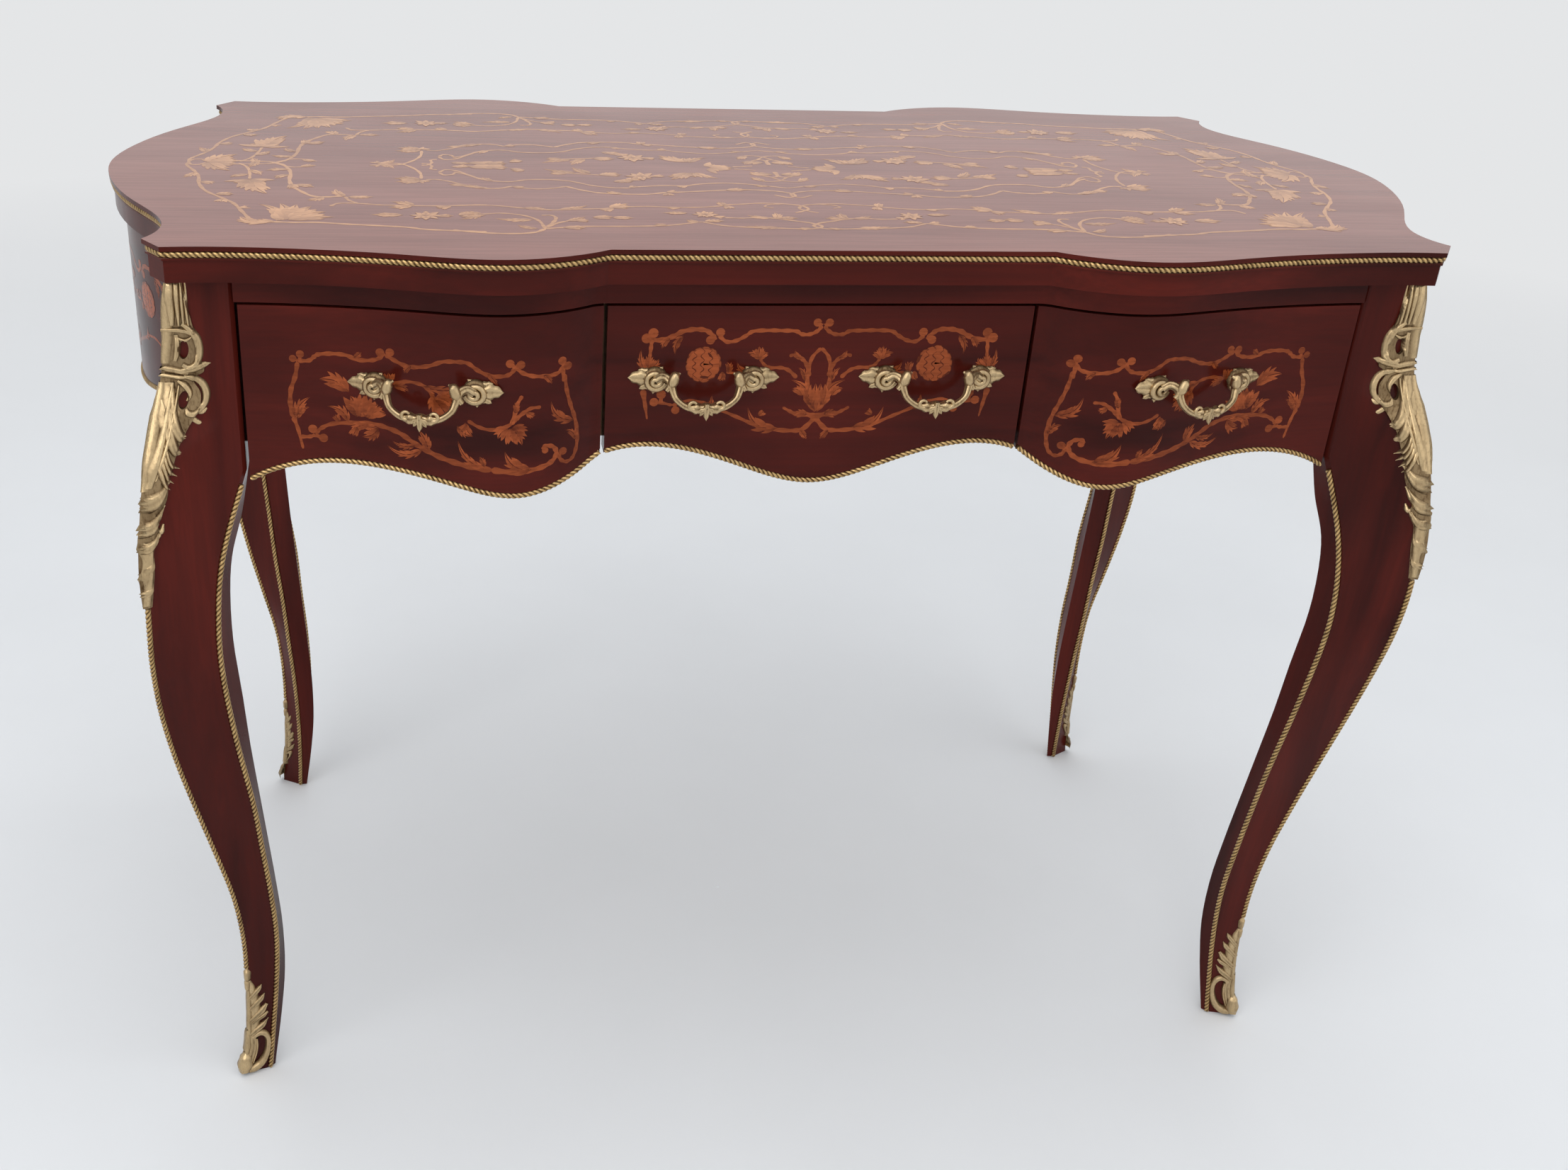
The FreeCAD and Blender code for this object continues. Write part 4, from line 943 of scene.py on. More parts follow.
# Stems of the right front quarter of the top: width at each end and the points they run through, in mm
TOP_STEMS = [
    (3.2, 2.6, [(413.7, 185), (397.2, 186.9), (379.1, 186.5), (354.2, 191.2), (331, 194.7),
      (314.4, 197.8), (299.5, 203.5), (281.4, 206.1), (266.5, 207.6), (254.9, 209.1)]),
    (2.6, 3, [(279.5, 204.3), (268.8, 208.7), (252.8, 212.3), (233.1, 213.2), (218.5, 208.9),
      (211, 199.3)]),
    (3, 2.4, [(211, 199.3), (197.6, 195.9), (178.8, 192.3), (151, 191.6), (128.4, 189.8), (113, 186.8),
      (100.9, 182), (88.8, 177.1)]),
    (2.4, 2.6, [(88.8, 177.1), (75.2, 186.6), (57.1, 191.4), (29.2, 193.9), (6.5, 194.7), (-3.2, 188),
      (2.8, 178.8), (14.9, 172.5), (28.9, 165.4), (46.1, 163.8)]),
    (2.4, 2, [(211, 199.3), (214.6, 177), (224.9, 162.7), (241.4, 156.4), (258.3, 159.6), (271.4, 161.9)]),
    (3, 1.8, [(209.5, 196.1), (203.3, 179.9), (200.9, 168), (204.2, 161.4), (211.7, 161.6)]),
    (2.4, 2, [(208.4, 194.3), (200.2, 183.1), (188.4, 174.9), (178.7, 171.4)]),
    (2.6, 2.4, [(372.1, 139.8), (367.1, 131.4), (356.8, 129.8), (342.9, 132.6), (332.5, 134.8),
      (315.1, 135.5), (297.8, 136.3), (280.3, 135.1), (252.2, 131.7)]),
    (2.4, 2.4, [(278.4, 135), (259.4, 132.2), (240.5, 135.1), (225.5, 140.2), (203, 145.1),
      (183.7, 142.4), (160.4, 139.7), (146.2, 134.3)]),
    (2.4, 2.2, [(146.2, 134.3), (124.6, 132.2), (105.3, 134.5), (85.6, 133.8), (65.1, 128.9)]),
    (2.2, 2.2, [(62.4, 125.3), (48, 122.7), (31.4, 119.3), (13.6, 120.9), (0.7, 126.2), (-3.5, 136.1),
      (2.5, 143.3), (9.4, 147.7)]),
    (2.2, 1.6, [(15.8, 121.7), (26.2, 123.5), (30.7, 130.1), (24.4, 134.1)]),
    (2.2, 2, [(69.4, 164.5), (56.1, 165.5), (46.1, 163.8)]),
    (2.6, 2.6, [(429, 178.3), (436.5, 157.4), (445.5, 132.7), (457.8, 114.4), (470.3, 96.2), (478, 74),
      (481.3, 50.9), (487, 31.6), (493.7, 17)]),
    (2.6, 2, [(493.7, 17), (495.9, 8.5), (493.8, -7.1), (487.1, -10), (480.6, -2.1)]),
    (2.6, 3, [(460.6, -6.4), (441.7, -4.9), (426.5, -1.6), (416.7, 9.3), (410.1, 31.7), (408.7, 59.3),
      (405.1, 78.1), (397.1, 94.9), (387.4, 109.3), (375.1, 111.5), (363.9, 108.4)]),
    (2.6, 2, [(362, 110.4), (358.9, 121.4), (351.6, 130.3)]),
    (2.2, 2, [(454, 3.1), (446.2, 17), (442, 39.1), (440.6, 56.3)]),
    (2.2, 1.4, [(426.4, -0.8), (412.2, 13.9), (401.1, 13.3), (391, 7.2)]),
    (2.4, 2.2, [(336.7, -1.3), (322.4, -2.1), (310.9, 12.1), (304.2, 30.7), (303.2, 50.5)]),
    (2.2, 2.4, [(299.5, 53.3), (290.2, 52.1), (279.2, 58.9), (266.5, 70.6), (250.2, 78.4)]),
    (2.4, 2.4, [(277.2, 65.4), (265.5, 74.9), (251.8, 79.7), (239.9, 79.2), (229.7, 72)]),
    (2.4, 2.4, [(229.7, 72), (221, 77.8), (208.2, 80.3), (196, 76.8), (185.5, 71)]),
    (2.4, 2.4, [(185.5, 71), (174.4, 82), (159.3, 91.2), (139.6, 94.2), (119.5, 93.6), (104.5, 87)]),
    (2.4, 2.2, [(102.5, 87.7), (77.4, 83), (56.2, 78.4), (35.1, 76.1), (17, 78.5), (3.7, 84.1),
      (-1.8, 93), (5.1, 100), (15.8, 92.9)]),
    (2.6, 2, [(288.2, 30), (284.5, 36.5), (277.9, 34.7), (275.7, 29.5)]),
    (2.2, 2.4, [(288.7, 28.5), (283.4, 18.5), (273, 22.5), (260.2, 41.4), (249.3, 52.6)]),
    (2.4, 2.4, [(276.6, 25.9), (266.5, 33.5), (254.8, 48.9), (241, 56.2), (228.9, 56.5), (216.3, 49.7),
      (195.9, 48.8), (180, 53.7), (164.8, 66.4), (149.3, 73.5), (133.2, 74.4)]),
    (2.4, 2, [(130.8, 71.2), (105.4, 64.8), (86.9, 64.9), (73.5, 58.9), (51.9, 54), (31.5, 57.2),
      (15.9, 62.9), (-0.5, 69.3)]),
    (2.4, 2, [(303.3, -3.1), (297.6, -1.7), (294.5, 6.4), (295.3, 15.9), (290, 18.8)]),
    (2, 2, [(190, 24.4), (173.5, 26.9), (153.1, 31)]),
    (2.2, 1.8, [(34.4, 3.5), (24, 5.7), (15.7, 8)]),
    (2.2, 1.8, [(-0.8, 12.6), (-1.5, 30), (-10.2, 29.7), (-19.1, 18.5)]),
    (2.2, 1.6, [(-8, 29.8), (1.5, 44), (14.8, 47), (23.8, 33.5)]),
]
# Leaves of the right front quarter of the top: width, bow, base and tip
TOP_LEAVES = [
    (9, 6, (218.1, 173.8), (248.5, 171.2)), (8, -6, (256.5, 159.5), (275, 155.3)),
    (8, 6, (258.3, 159.6), (274.6, 175.2)), (7, 8, (216.1, 199.5), (231.5, 188.3)),
    (8, 0, (192.4, 178.3), (177.2, 164.7)), (8, 4, (186.7, 176.9), (175.6, 177.9)),
    (11, 0, (172.7, 167.3), (155.4, 164.1)), (9, 0, (157.6, 166.8), (139.7, 167.7)),
    (10, 6, (197.6, 196.5), (179.5, 198.7)), (7, -6, (116.9, 187.6), (128.1, 187.8)),
    (8, 8, (86.9, 177), (69.8, 175.2)), (7, 6, (90.9, 178.4), (100.7, 170.7)),
    (9, 6, (30.5, 191.4), (58.2, 186.8)), (8, 6, (32.8, 165.5), (50.3, 155.8)),
    (8, -6, (28.9, 165.4), (26.9, 148.2)), (8, 6, (27, 165.4), (9.5, 165.6)),
    (6, 0, (6.2, 193.4), (18.3, 196.2)), (8, 0, (62.8, 129.6), (66.7, 115.3)),
    (9, 6, (63, 128.2), (60.8, 138.1)), (9, -6, (308.2, 136), (327.5, 124.3)),
    (9, 6, (309.9, 136), (328.9, 141.7)), (9, 0, (280.3, 135.7), (290.9, 145)),
    (8, 6, (225.5, 140.2), (201.4, 149.1)), (9, -6, (197.2, 143.5), (172.9, 130.3)),
    (11, 0, (156.3, 138.1), (140.3, 123.5)), (10, 6, (154.4, 138.1), (140.6, 136.3)),
    (9, -6, (153.6, 139.5), (161, 149.3)), (7, 0, (99.5, 135), (111.7, 138.1)),
    (12, 0, (316.5, 163.8), (341.6, 163.2)), (8, 6, (292.7, 167.4), (277.4, 165.8)),
    (9, 6, (273.9, 165), (261.7, 155.4)), (8, -6, (274, 166.9), (253.2, 161.5)),
    (8, 0, (96.2, 151.6), (117.5, 151.5)), (8, 0, (77.3, 160), (69.4, 164.5)),
    (16, -10, (408.9, 183.7), (427, 134)), (22, -6, (407.3, 182.5), (410.7, 132.1)),
    (24, 0, (404.2, 180.6), (397.7, 135.6)), (24, 4, (401.1, 178.8), (386.3, 140.3)),
    (22, 6, (399.5, 177.5), (374.3, 155.5)), (18, 8, (400.9, 181.1), (367, 171.9)),
    (13, 8, (420, 186.9), (436.6, 171.3)), (12, -6, (413.5, 186.7), (432.1, 190.1)),
    (9, 4, (410.3, 186.1), (423.3, 178.1)), (9, 8, (462, 107.2), (447, 106.1)),
    (8, 8, (438.8, 148.2), (433.2, 144.9)), (9, 8, (478.3, 67.1), (467.4, 74.3)),
    (8, 6, (486, 35.1), (494.4, 54.3)), (9, -6, (453.7, 120.1), (454.3, 129.8)),
    (6, 8, (480.3, 0.4), (484.8, 8.8)), (20, 0, (479.7, -2.1), (455.6, -3.4)),
    (18, -6, (479.6, -1.3), (458.2, 29.5)), (9, -10, (411.4, 24.3), (430.9, 28.3)),
    (8, -8, (410.1, 40.6), (420.2, 55.4)), (10, 6, (404.8, 74.6), (387.4, 82.2)),
    (9, 8, (406.9, 71.2), (407.8, 88.5)), (10, 8, (380.3, 111), (390.8, 123.8)),
    (9, 6, (362, 110.4), (370.5, 85.7)), (9, -6, (360.3, 110.3), (339.3, 108.9)),
    (8, 6, (441.7, -4.9), (446.9, 18.5)), (8, 6, (444.4, 25.8), (432.5, 44.4)),
    (8, -6, (442.5, 40.5), (457.1, 52.7)), (22, 6, (439.3, 58.4), (452.4, 69.5)),
    (24, 0, (439.2, 56.3), (435.9, 92.9)), (20, -6, (438.6, 56.3), (425.9, 64.2)),
    (18, -4, (436.8, 65.4), (422.6, 103.8)), (8, 4, (402.9, 13.4), (391.1, 6.4)),
    (9, 6, (340.6, -2.8), (325.9, 17.4)), (8, 0, (338.7, -2.9), (343.2, -7.7)),
    (12, 6, (303.2, 54.9), (325.2, 60.1)), (12, -6, (303.5, 54.9), (327.2, 50.1)),
    (10, 4, (305, 56.4), (299.5, 61.9)), (8, 0, (104.5, 87), (94.8, 83.6)),
    (9, 0, (104.7, 88.5), (103.9, 97.5)), (9, 4, (54.2, 79.1), (33.2, 76.8)),
    (8, 0, (229.7, 72.7), (220, 77.7)), (8, 6, (251.8, 79.7), (265.3, 67.3)),
    (8, 6, (141.4, 92.8), (154.7, 85.9)), (8, 0, (266.5, 70.6), (282.1, 66.9)),
    (7, 0, (133.2, 74.4), (127.2, 66.4)), (7, 4, (245, 55.6), (253.4, 41.8)),
    (7, 0, (84.7, 64), (92, 71.3)), (6, 0, (14, 63.6), (28.4, 62.6)), (9, 0, (278.5, 8), (259.1, 3)),
    (16, 4, (261.2, 7.2), (240, 6.9)), (13, 0, (263.9, 7.7), (243, 4.9)),
    (14, 4, (249.3, 7), (229.6, 8.7)), (8, 6, (216.4, 14.9), (229, 18)),
    (7, 0, (228.7, 11.3), (216.5, 17.5)), (9, 4, (173.2, 23.7), (201.5, 10)),
    (10, 4, (181.9, 27.3), (196.1, 23.1)), (10, 4, (161, 26.4), (175.7, 3.3)),
    (13, 0, (155, 29.4), (134, 28.5)), (11, 6, (153.2, 32.6), (140, 25.5)),
    (10, 0, (145.2, 53.8), (124.2, 47.4)), (10, 4, (134, 46.3), (119.1, 43.3)),
    (9, 0, (109.5, 34), (98.5, 30.2)), (12, 6, (75.7, 19.3), (97.9, 33.4)),
    (14, 0, (74.6, 19.3), (95.3, 44.7)), (12, -8, (72.5, 19.2), (71.9, 35.6)),
    (10, -10, (70.1, 17.5), (51.2, 37.9)), (16, 4, (58.4, 4.7), (49, 13.1)),
    (14, 0, (56, 2.8), (34.1, 1.7)), (9, 6, (10.7, 26.4), (21.8, 11.9)), (10, 6, (3.3, 22), (17.3, 16.7)),
    (8, 0, (14.6, 46.1), (25.7, 32)),
]
# Flowers of the right front quarter of the top: radius and centre
TOP_FLOWERS = [(13, (299.5, 164.6)), (11, (82.9, 155.3)), (14, (118.9, 33.5))]

CENTER_DESIGN = {"stems": CENTER_STEMS, "leaves": CENTER_LEAVES, "blooms": CENTER_BLOOMS, "ends": CENTER_ENDS}
SIDE_DESIGN = {"stems": SIDE_STEMS, "leaves": SIDE_LEAVES, "ends": SIDE_ENDS}
TOP_DESIGN = {"stems": TOP_STEMS, "leaves": TOP_LEAVES, "flowers": TOP_FLOWERS}

# Wider leaves than this one have lobes, and a round end nearer to a stem than the limit gets a neck, in mm
NARROW_LEAF, NECK_LIMIT, END_SWELL = 3.6, 12, 1.15
STEM_LAYERS, OVER_STEMS, LEAF_TURNS, OVER_LEAVES = 14, 15, 11, 112
# Height of one layer in metres, and how much the stems are widened
INLAY_STEP, STOUT, SIDE_STOUT = 0.0000008, 1.25, 1.3
# A side apron's foliage: where its rays start, how much longer and how many mm higher it is than the drawer's
BESIDE, APRON_STRETCH, APRON_RAISE = 0.8, 1.12, 9.0


class Inlay:
    """Flat foliage drawn in millimetres and laid on a surface, each piece a hair above the one before."""

    def __init__(self, lay, seed):
        self.lay = lay
        self.shape = Shape()
        self.chance = random.Random(seed)
        self.layer = 0

    def ribbon(self, line, left, right, tone, burnt=0.0, columns=3):
        """Flat strip; burnt darkens it at its start, as hot sand does."""
        rows = []
        marks = []
        last = len(line) - 1
        for i, (point, way) in enumerate(zip(line, directions(line))):
            across = Vector((-way.y, way.x))
            offsets = [left[i] + (right[i] - left[i]) * k / (columns - 1) for k in range(columns)]
            rows.append([self.lay(point + across * offset, self.layer) for offset in offsets])
            marks.append([tone - burnt * (1 - i / last) ** 1.5] * columns)
        self.shape.strip(rows, marks)

    def blade(self, line, half, tone, burnt=0.0):
        """Strip of the same half width on both sides of its line."""
        self.ribbon(line, [-h for h in half], half, tone, burnt)

    def tone(self, base):
        return base + self.chance.uniform(-0.16, 0.16)

    def stem(self, start, end, points):
        line = flowing(points, 8)
        last = len(line) - 1
        half = [(start + (end - start) * i / last) / 2 * (0.92 + 0.16 * math.sin(i * 0.9))
                for i in range(last + 1)]
        half[0] *= 0.5
        half[-1] *= 0.5
        self.layer += 1
        self.blade(line, half, self.tone(0.55))

    def leaf(self, width, bow, base, tip):
        """Pointed leaf sawn in two halves along its vein, with pointed lobes on the wider ones."""
        base, tip = Vector(base), Vector(tip)
        along = tip - base
        across = Vector((-along.y, along.x)) * (bow / 60.0)
        count = 16
        line = [base + along * (i / count) + across * (4 * i / count * (1 - i / count))
                for i in range(count + 1)]
        ways = directions(line)
        shade = self.tone(0.78)
        blade = width
        if width > NARROW_LEAF:
            blade = width * 0.56
            for i, size in ((3, 0.70), (6, 0.80), (9, 0.58)):
                for hand in (-1, 1):
                    side = Vector((-ways[i].y, ways[i].x)) * hand
                    reach = width * size * self.chance.uniform(0.88, 1.12)
                    self.lobe(line[i - 2], line[i] + side * (reach * 0.62) + ways[i] * (reach * 0.78),
                              side, reach * 0.40, shade - 0.08 - 0.10 * hand)
        half = [blade / 2 * max(math.sin(math.pi * (i / count) ** 0.75), 0.0) ** 0.9
                for i in range(count + 1)]
        gap = [min(0.16 + 0.012 * width, h) for h in half]
        self.layer += 1
        self.ribbon(line, [-h for h in half], [-g for g in gap], shade + 0.06, 0.55)
        self.ribbon(line, gap, half, shade - 0.20, 0.45)

    def lobe(self, base, tip, side, width, tone):
        """Pointed side lobe of a leaf, bowed outwards."""
        line = [base.lerp(tip, k / 7) + side * (width * 0.9 * k / 7 * (1 - k / 7)) for k in range(8)]
        half = [width / 2 * f for f in (0.45, 0.80, 1.0, 0.98, 0.84, 0.62, 0.34, 0.0)]
        self.layer += 1
        self.blade(line, half, tone, 0.5)

    def ring(self, petals, size, turn, spread, slim, tone, fan, centre):
        """Ring of petals of uneven length."""
        for k in range(petals):
            angle = turn + 2 * math.pi * k / petals
            way = Vector((math.cos(angle), math.sin(angle)))
            long = size * self.chance.uniform(*spread)
            self.petal(centre, centre + way * long, long * slim, tone, fan)

    def flower(self, radius, centre):
        """Open flower: three rings of pointed petals."""
        fan = (0.30, 0.46, 0.62, 0.78, 0.92, 1.0, 0.98, 0.86, 0.64, 0.36, 0.04)
        for petals, far, turn, tone in ((8, 1.0, 0.0, 0.75), (8, 0.66, 0.39, 0.95), (5, 0.34, 0.2, 0.65)):
            self.ring(petals, radius * far, turn, (0.84, 1.12), 0.40, tone, fan, Vector(centre))

    def bloom(self, radius, centre):
        """Full round bloom: a scalloped head with wavy engraved lines from foot to crown."""
        centre = Vector(centre)
        fan = (0.10, 0.16, 0.24, 0.34, 0.46, 0.60, 0.76, 0.92, 1.0, 0.86, 0.42)
        self.ring(13, radius, 0.0, (0.94, 1.06), 0.60, 0.62, fan, centre)
        self.layer += 20
        self.round_end(radius * 0.86, centre, 0.72)
        self.layer += 10
        last = 28
        for side in (-0.52, -0.06, 0.42):
            tall = math.sqrt(1 - side * side) * 0.92
            line = []
            for i in range(last + 1):
                rise = (i / last * 2 - 1) * tall
                wave = 0.10 * math.sin(i * 0.85 + side * 9)
                line.append(centre + Vector(((side * (1 - 0.25 * abs(rise)) + wave) * radius, rise * radius)))
            thin = [0.12 + 0.42 * math.sin(math.pi * i / last) * abs(math.sin(i * 0.55))
                    for i in range(last + 1)]
            self.layer += 1
            self.blade(line, thin, 0.0)

    def petal(self, base, tip, width, tone, fan):
        """Petal of the given outline with a dark line round it."""
        last = len(fan) - 1
        line = [base.lerp(tip, i / last) for i in range(last + 1)]
        half = [width / 2 * f for f in fan]
        self.layer += 1
        self.blade(line, half, 0.0)
        self.layer += 1
        inner = [max(h - 0.28, 0) for h in half]
        short = [base.lerp(tip, i / last * 0.965) for i in range(last + 1)]
        self.blade(short, inner, self.tone(tone), 0.9)

    def neck(self, radius, centre, start):
        """Short stalk that joins a round end to its stem."""
        line = [Vector(start).lerp(Vector(centre), k / 4) for k in range(5)]
        half = [radius * f for f in (0.55, 0.42, 0.40, 0.50, 0.70)]
        self.layer += 1
        self.blade(line, half, self.tone(0.52))

    def round_end(self, radius, centre, tone=0.5):
        ring = [Vector(centre) + Vector((math.cos(a), math.sin(a))) * radius / 2
                for a in [2 * math.pi * k / 24 for k in range(25)]]
        self.layer += 1
        self.ribbon(ring, [-radius / 2] * 25, [radius / 2] * 25, self.tone(tone), 0.0, 6)


def draw(inlay, design, sx, sy, stout):
    """Lay a design turned over by sx and sy; stout widens its stems. Few layers keep the foliage flat."""
    def put_at(point):
        return (point[0] * sx, point[1] * sy)

    ground = inlay.layer
    for i, (start, end, points) in enumerate(design["stems"]):
        inlay.layer = ground + i % STEM_LAYERS
        inlay.stem(start * stout, end * stout, [put_at(p) for p in points])
    for i, (width, bow, base, tip) in enumerate(design["leaves"]):
        inlay.layer = ground + OVER_STEMS + i % LEAF_TURNS * 8
        inlay.leaf(width, bow * sx * sy, put_at(base), put_at(tip))
    for kind, lay in (("blooms", inlay.bloom), ("flowers", inlay.flower)):
        for radius, centre in design.get(kind, ()):
            inlay.layer = ground + OVER_LEAVES
            lay(radius, put_at(centre))
    places = [Vector(put_at(p)) for stem in design["stems"] for p in flowing(stem[2], 6)]
    for i, (radius, centre) in enumerate(design.get("ends", ())):
        inlay.layer = ground + OVER_STEMS + i % LEAF_TURNS * 3
        spot = Vector(put_at(centre))
        nearest = min(places, key=lambda p: (p - spot).length)
        if 0.01 < (nearest - spot).length < NECK_LIMIT:
            inlay.neck(radius * END_SWELL, spot, nearest)
        inlay.round_end(radius * END_SWELL, spot)


def draw_halves(inlay):
    """The centre drawer's design, drawn once and turned over."""
    for sx in (1, -1):
        inlay.layer = 0.25 * (sx + 1)
        draw(inlay, CENTER_DESIGN, sx, 1, STOUT)


# Handles

# Plate of a rosette: radius and height of its rings
ROSETTE_PLATE = ((0.0098, 0.0), (0.0096, 0.0024), (0.0080, 0.0036), (0.0040, 0.0042), (0.0008, 0.0044))
# Small leaves of a rosette: start and tip as (outward, up) from its middle, half width and height
ROSETTE_LEAVES = (
    (((0.003, 0.004), (0.013, 0.0075)), 0.0032, 0.0042),
    (((0.003, -0.004), (0.012, -0.0082)), 0.0034, 0.0042),
    (((0.0, 0.003), (-0.006, 0.0095)), 0.003, 0.004),
    (((0.0, -0.003), (0.001, -0.0125)), 0.003, 0.004),
)
BUD_RADII = (0.0030, 0.0044, 0.0040, 0.0010)
BAIL_RADIUS, BAIL_STEP = 0.0031, 0.0008
# From a handle's lowest point up to its middle, and half the span over which a drawer front's slope is taken
HANDLE_RISE, SLOPE_HALF = 0.0238, 0.03


def leaf_blade(shape, start, end, width, tall, vein=0.3, lift=0.0):
    """Pointed domed leaf from one place of a handle to another."""
    out = Vector((0, 1, 0))
    way = (end - start).normalized()
    across = out.cross(way).normalized()
    rows = []
    marks = []
    for i in range(13):
        share = i / 12
        half = width * math.sin(math.pi * min(1.0, 0.18 + 0.82 * share)) ** 0.8
        wave = 1 + 0.14 * math.cos(share * 5 * math.pi)
        high = tall * (1 - 0.75 * share)
        steps = [k / 4 - 1 for k in range(9)]
        rows.append([start.lerp(end, share) + across * (half * wave * u)
                     + out * (lift + high * domed(u, vein, 0.2)) for u in steps])
        marks.append([shaded(u, 0.6, 0.5, vein, 0.22) for u in steps])
    shape.strip(rows, marks)


def bail(shape, sizes):
    """Ribbed bar that hangs between the rosettes, with leaves and two curls at its middle."""
    half, reach, drop = sizes.rosette_half, sizes.bail_out, sizes.bail_drop
    knot = Vector((0, reach, -drop))
    ends = [Vector((half, 0.006, 0.001)), Vector((half * 0.86, reach * 0.42, 0.0042)),
            Vector((half * 0.735, reach * 0.66, 0.0022)), Vector((half * 0.675, reach * 0.80, -drop * 0.30)),
            Vector((half * 0.60, reach * 0.93, -drop * 0.62)), Vector((half * 0.40, reach, -drop * 0.92)),
            Vector((half * 0.15, reach, -drop))]
    path = ends + [knot] + [Vector((-p.x, p.y, p.z)) for p in reversed(ends)]
    line = evenly(flowing(path, 16), BAIL_STEP)
    count = len(line) - 1
    radii = []
    for i in range(count + 1):
        share = i / count
        slim = 1.12 - 0.30 * math.exp(-((abs(share - 0.5) - 0.20) / 0.10) ** 2)
        scrolls = sum(0.55 * math.exp(-((share - c) / 0.022) ** 2) for c in (0.425, 0.575))
        knuckle = 0.35 * math.exp(-((share - 0.5) / 0.030) ** 2)
        radii.append(BAIL_RADIUS * (slim + scrolls + knuckle))
    fluted_bar(shape, line, radii)
    turns = [math.radians(-120 + 15 * k) for k in range(19)]
    for sign in (1, -1):
        for far, fall, width in ((0.0050, 0.0052, 0.0024), (0.0085, 0.0032, 0.0022)):
            leaf_blade(shape, knot + Vector((sign * 0.0008, 0.0022, 0.0014)),
                       knot + Vector((sign * far, 0.0020, -fall)), width, 0.0034, 0.35)
        curl = [knot + Vector((sign * (0.0105 + 0.0030 * math.cos(a)), 0.0020, 0.0030 + 0.0030 * math.sin(a)))
                for a in turns]
        tube(shape, curl, [0.0020 - 0.00005 * k for k in range(len(turns))], 8, 0.1)
    low = Vector((0, 0.35, -1)).normalized()
    leaf_blade(shape, knot + Vector((0, 0.0012, 0.0052)), knot + low * 0.0092, 0.0032, 0.0052)


def rosette(shape, sizes, sign, seat):
    """Volute on a scalloped plate with leaves round it, and the bud on the bail beside it."""
    def beside(start, outward, out, up):
        return start + Vector((sign * outward, out, up))

    centre = Vector((sign * sizes.rosette_half, seat, 0))
    spiral = []
    radii = []
    for i in range(49):
        share = i / 48
        angle = math.radians(200) + 2 * math.pi * 1.8 * share
        far = 0.0082 * (1 - 0.86 * share)
        spiral.append(beside(centre, math.cos(angle) * far, 0.0030 + 0.0052 * share, math.sin(angle) * far))
        radii.append(0.0027 - 0.0009 * share)
    tube(shape, spiral, radii, 9, 0.08)
    turns = [2 * math.pi * k / 32 for k in range(32)]
    plate = [[centre + Vector((math.cos(a) * far * (1 + 0.06 * math.cos(8 * a)), high, math.sin(a) * far))
              for a in turns] for far, high in ROSETTE_PLATE]
    # The plate is marked dark: painted shade under the volute and its leaves
    shape.strip(plate, [[0.7] * len(turns)] * len(plate), closed=True)
    tip = Vector((sign * sizes.handle_half, seat, 0.0008))
    leaf_blade(shape, beside(centre, 0.004, 0, 0.001), tip, 0.0064, 0.0052, 0.35)
    for ends, width, tall in ROSETTE_LEAVES:
        start, end = [beside(centre, outward, 0, up) for outward, up in ends]
        leaf_blade(shape, start, end, width, tall)
    foot = Vector((sign * sizes.rosette_half * 0.695, sizes.bail_out * 0.70, -0.003))
    bud = flowing([foot, beside(foot, -0.0006, 0.0012, 0.005), beside(foot, -0.0024, 0.0014, 0.0098),
                   beside(foot, -0.0058, 0.0006, 0.0118)])
    tube(shape, bud, [value_along(BUD_RADII, i / (len(bud) - 1)) for i in range(len(bud))], 9, 0.05)
    leaf_blade(shape, beside(foot, 0.004, -0.001, -0.002), beside(foot, -0.004, 0.002, 0.009),
               0.0030, 0.0034, lift=0.001)


def handle_shape(sizes, seats):
    """Cast drop handle about its middle: along the drawer, out of it and up."""
    shape = Shape()
    bail(shape, sizes)
    for sign, seat in ((1, seats[1]), (-1, seats[0])):
        rosette(shape, sizes, sign, seat)
    return shape


# Stage, as the photo was taken: picture size, focal length and centre in pixels, turns in radians, place in m
FRAME_WIDTH, FRAME_HEIGHT = 2214, 1652
FOCAL, CENTRE_X, CENTRE_Y = 2262.94, 918.19, 791.26
YAW, PITCH, ROLL = 0.144844, 0.469171, 0.045623
CAMERA_PLACE = (-0.292497, -1.378740, 1.109880)
SENSOR = 36.0
# Floor: radius of its flat part and of its bend, height of its wall, drop below the feet, sides
FLAT, BEND, WALL, DROP, FLOOR_SIDES = 5.0, 1.2, 4.5, 0.0002, 72
SKY, SKY_STRENGTH = (0.93, 0.96, 1.0, 1), 0.68
# Lamps: name, place, aim, size and watts
LAMPS = (
    ("key", (-1.6, -2.6, 2.6), (0, 0, 0.5), 3.4, 62),
    ("fill", (2.4, -2.4, 2.2), (0, 0, 0.5), 4.6, 28),
    ("over", (0.2, 0.2, 3.2), (0, 0, 0), 3.4, 40),
)


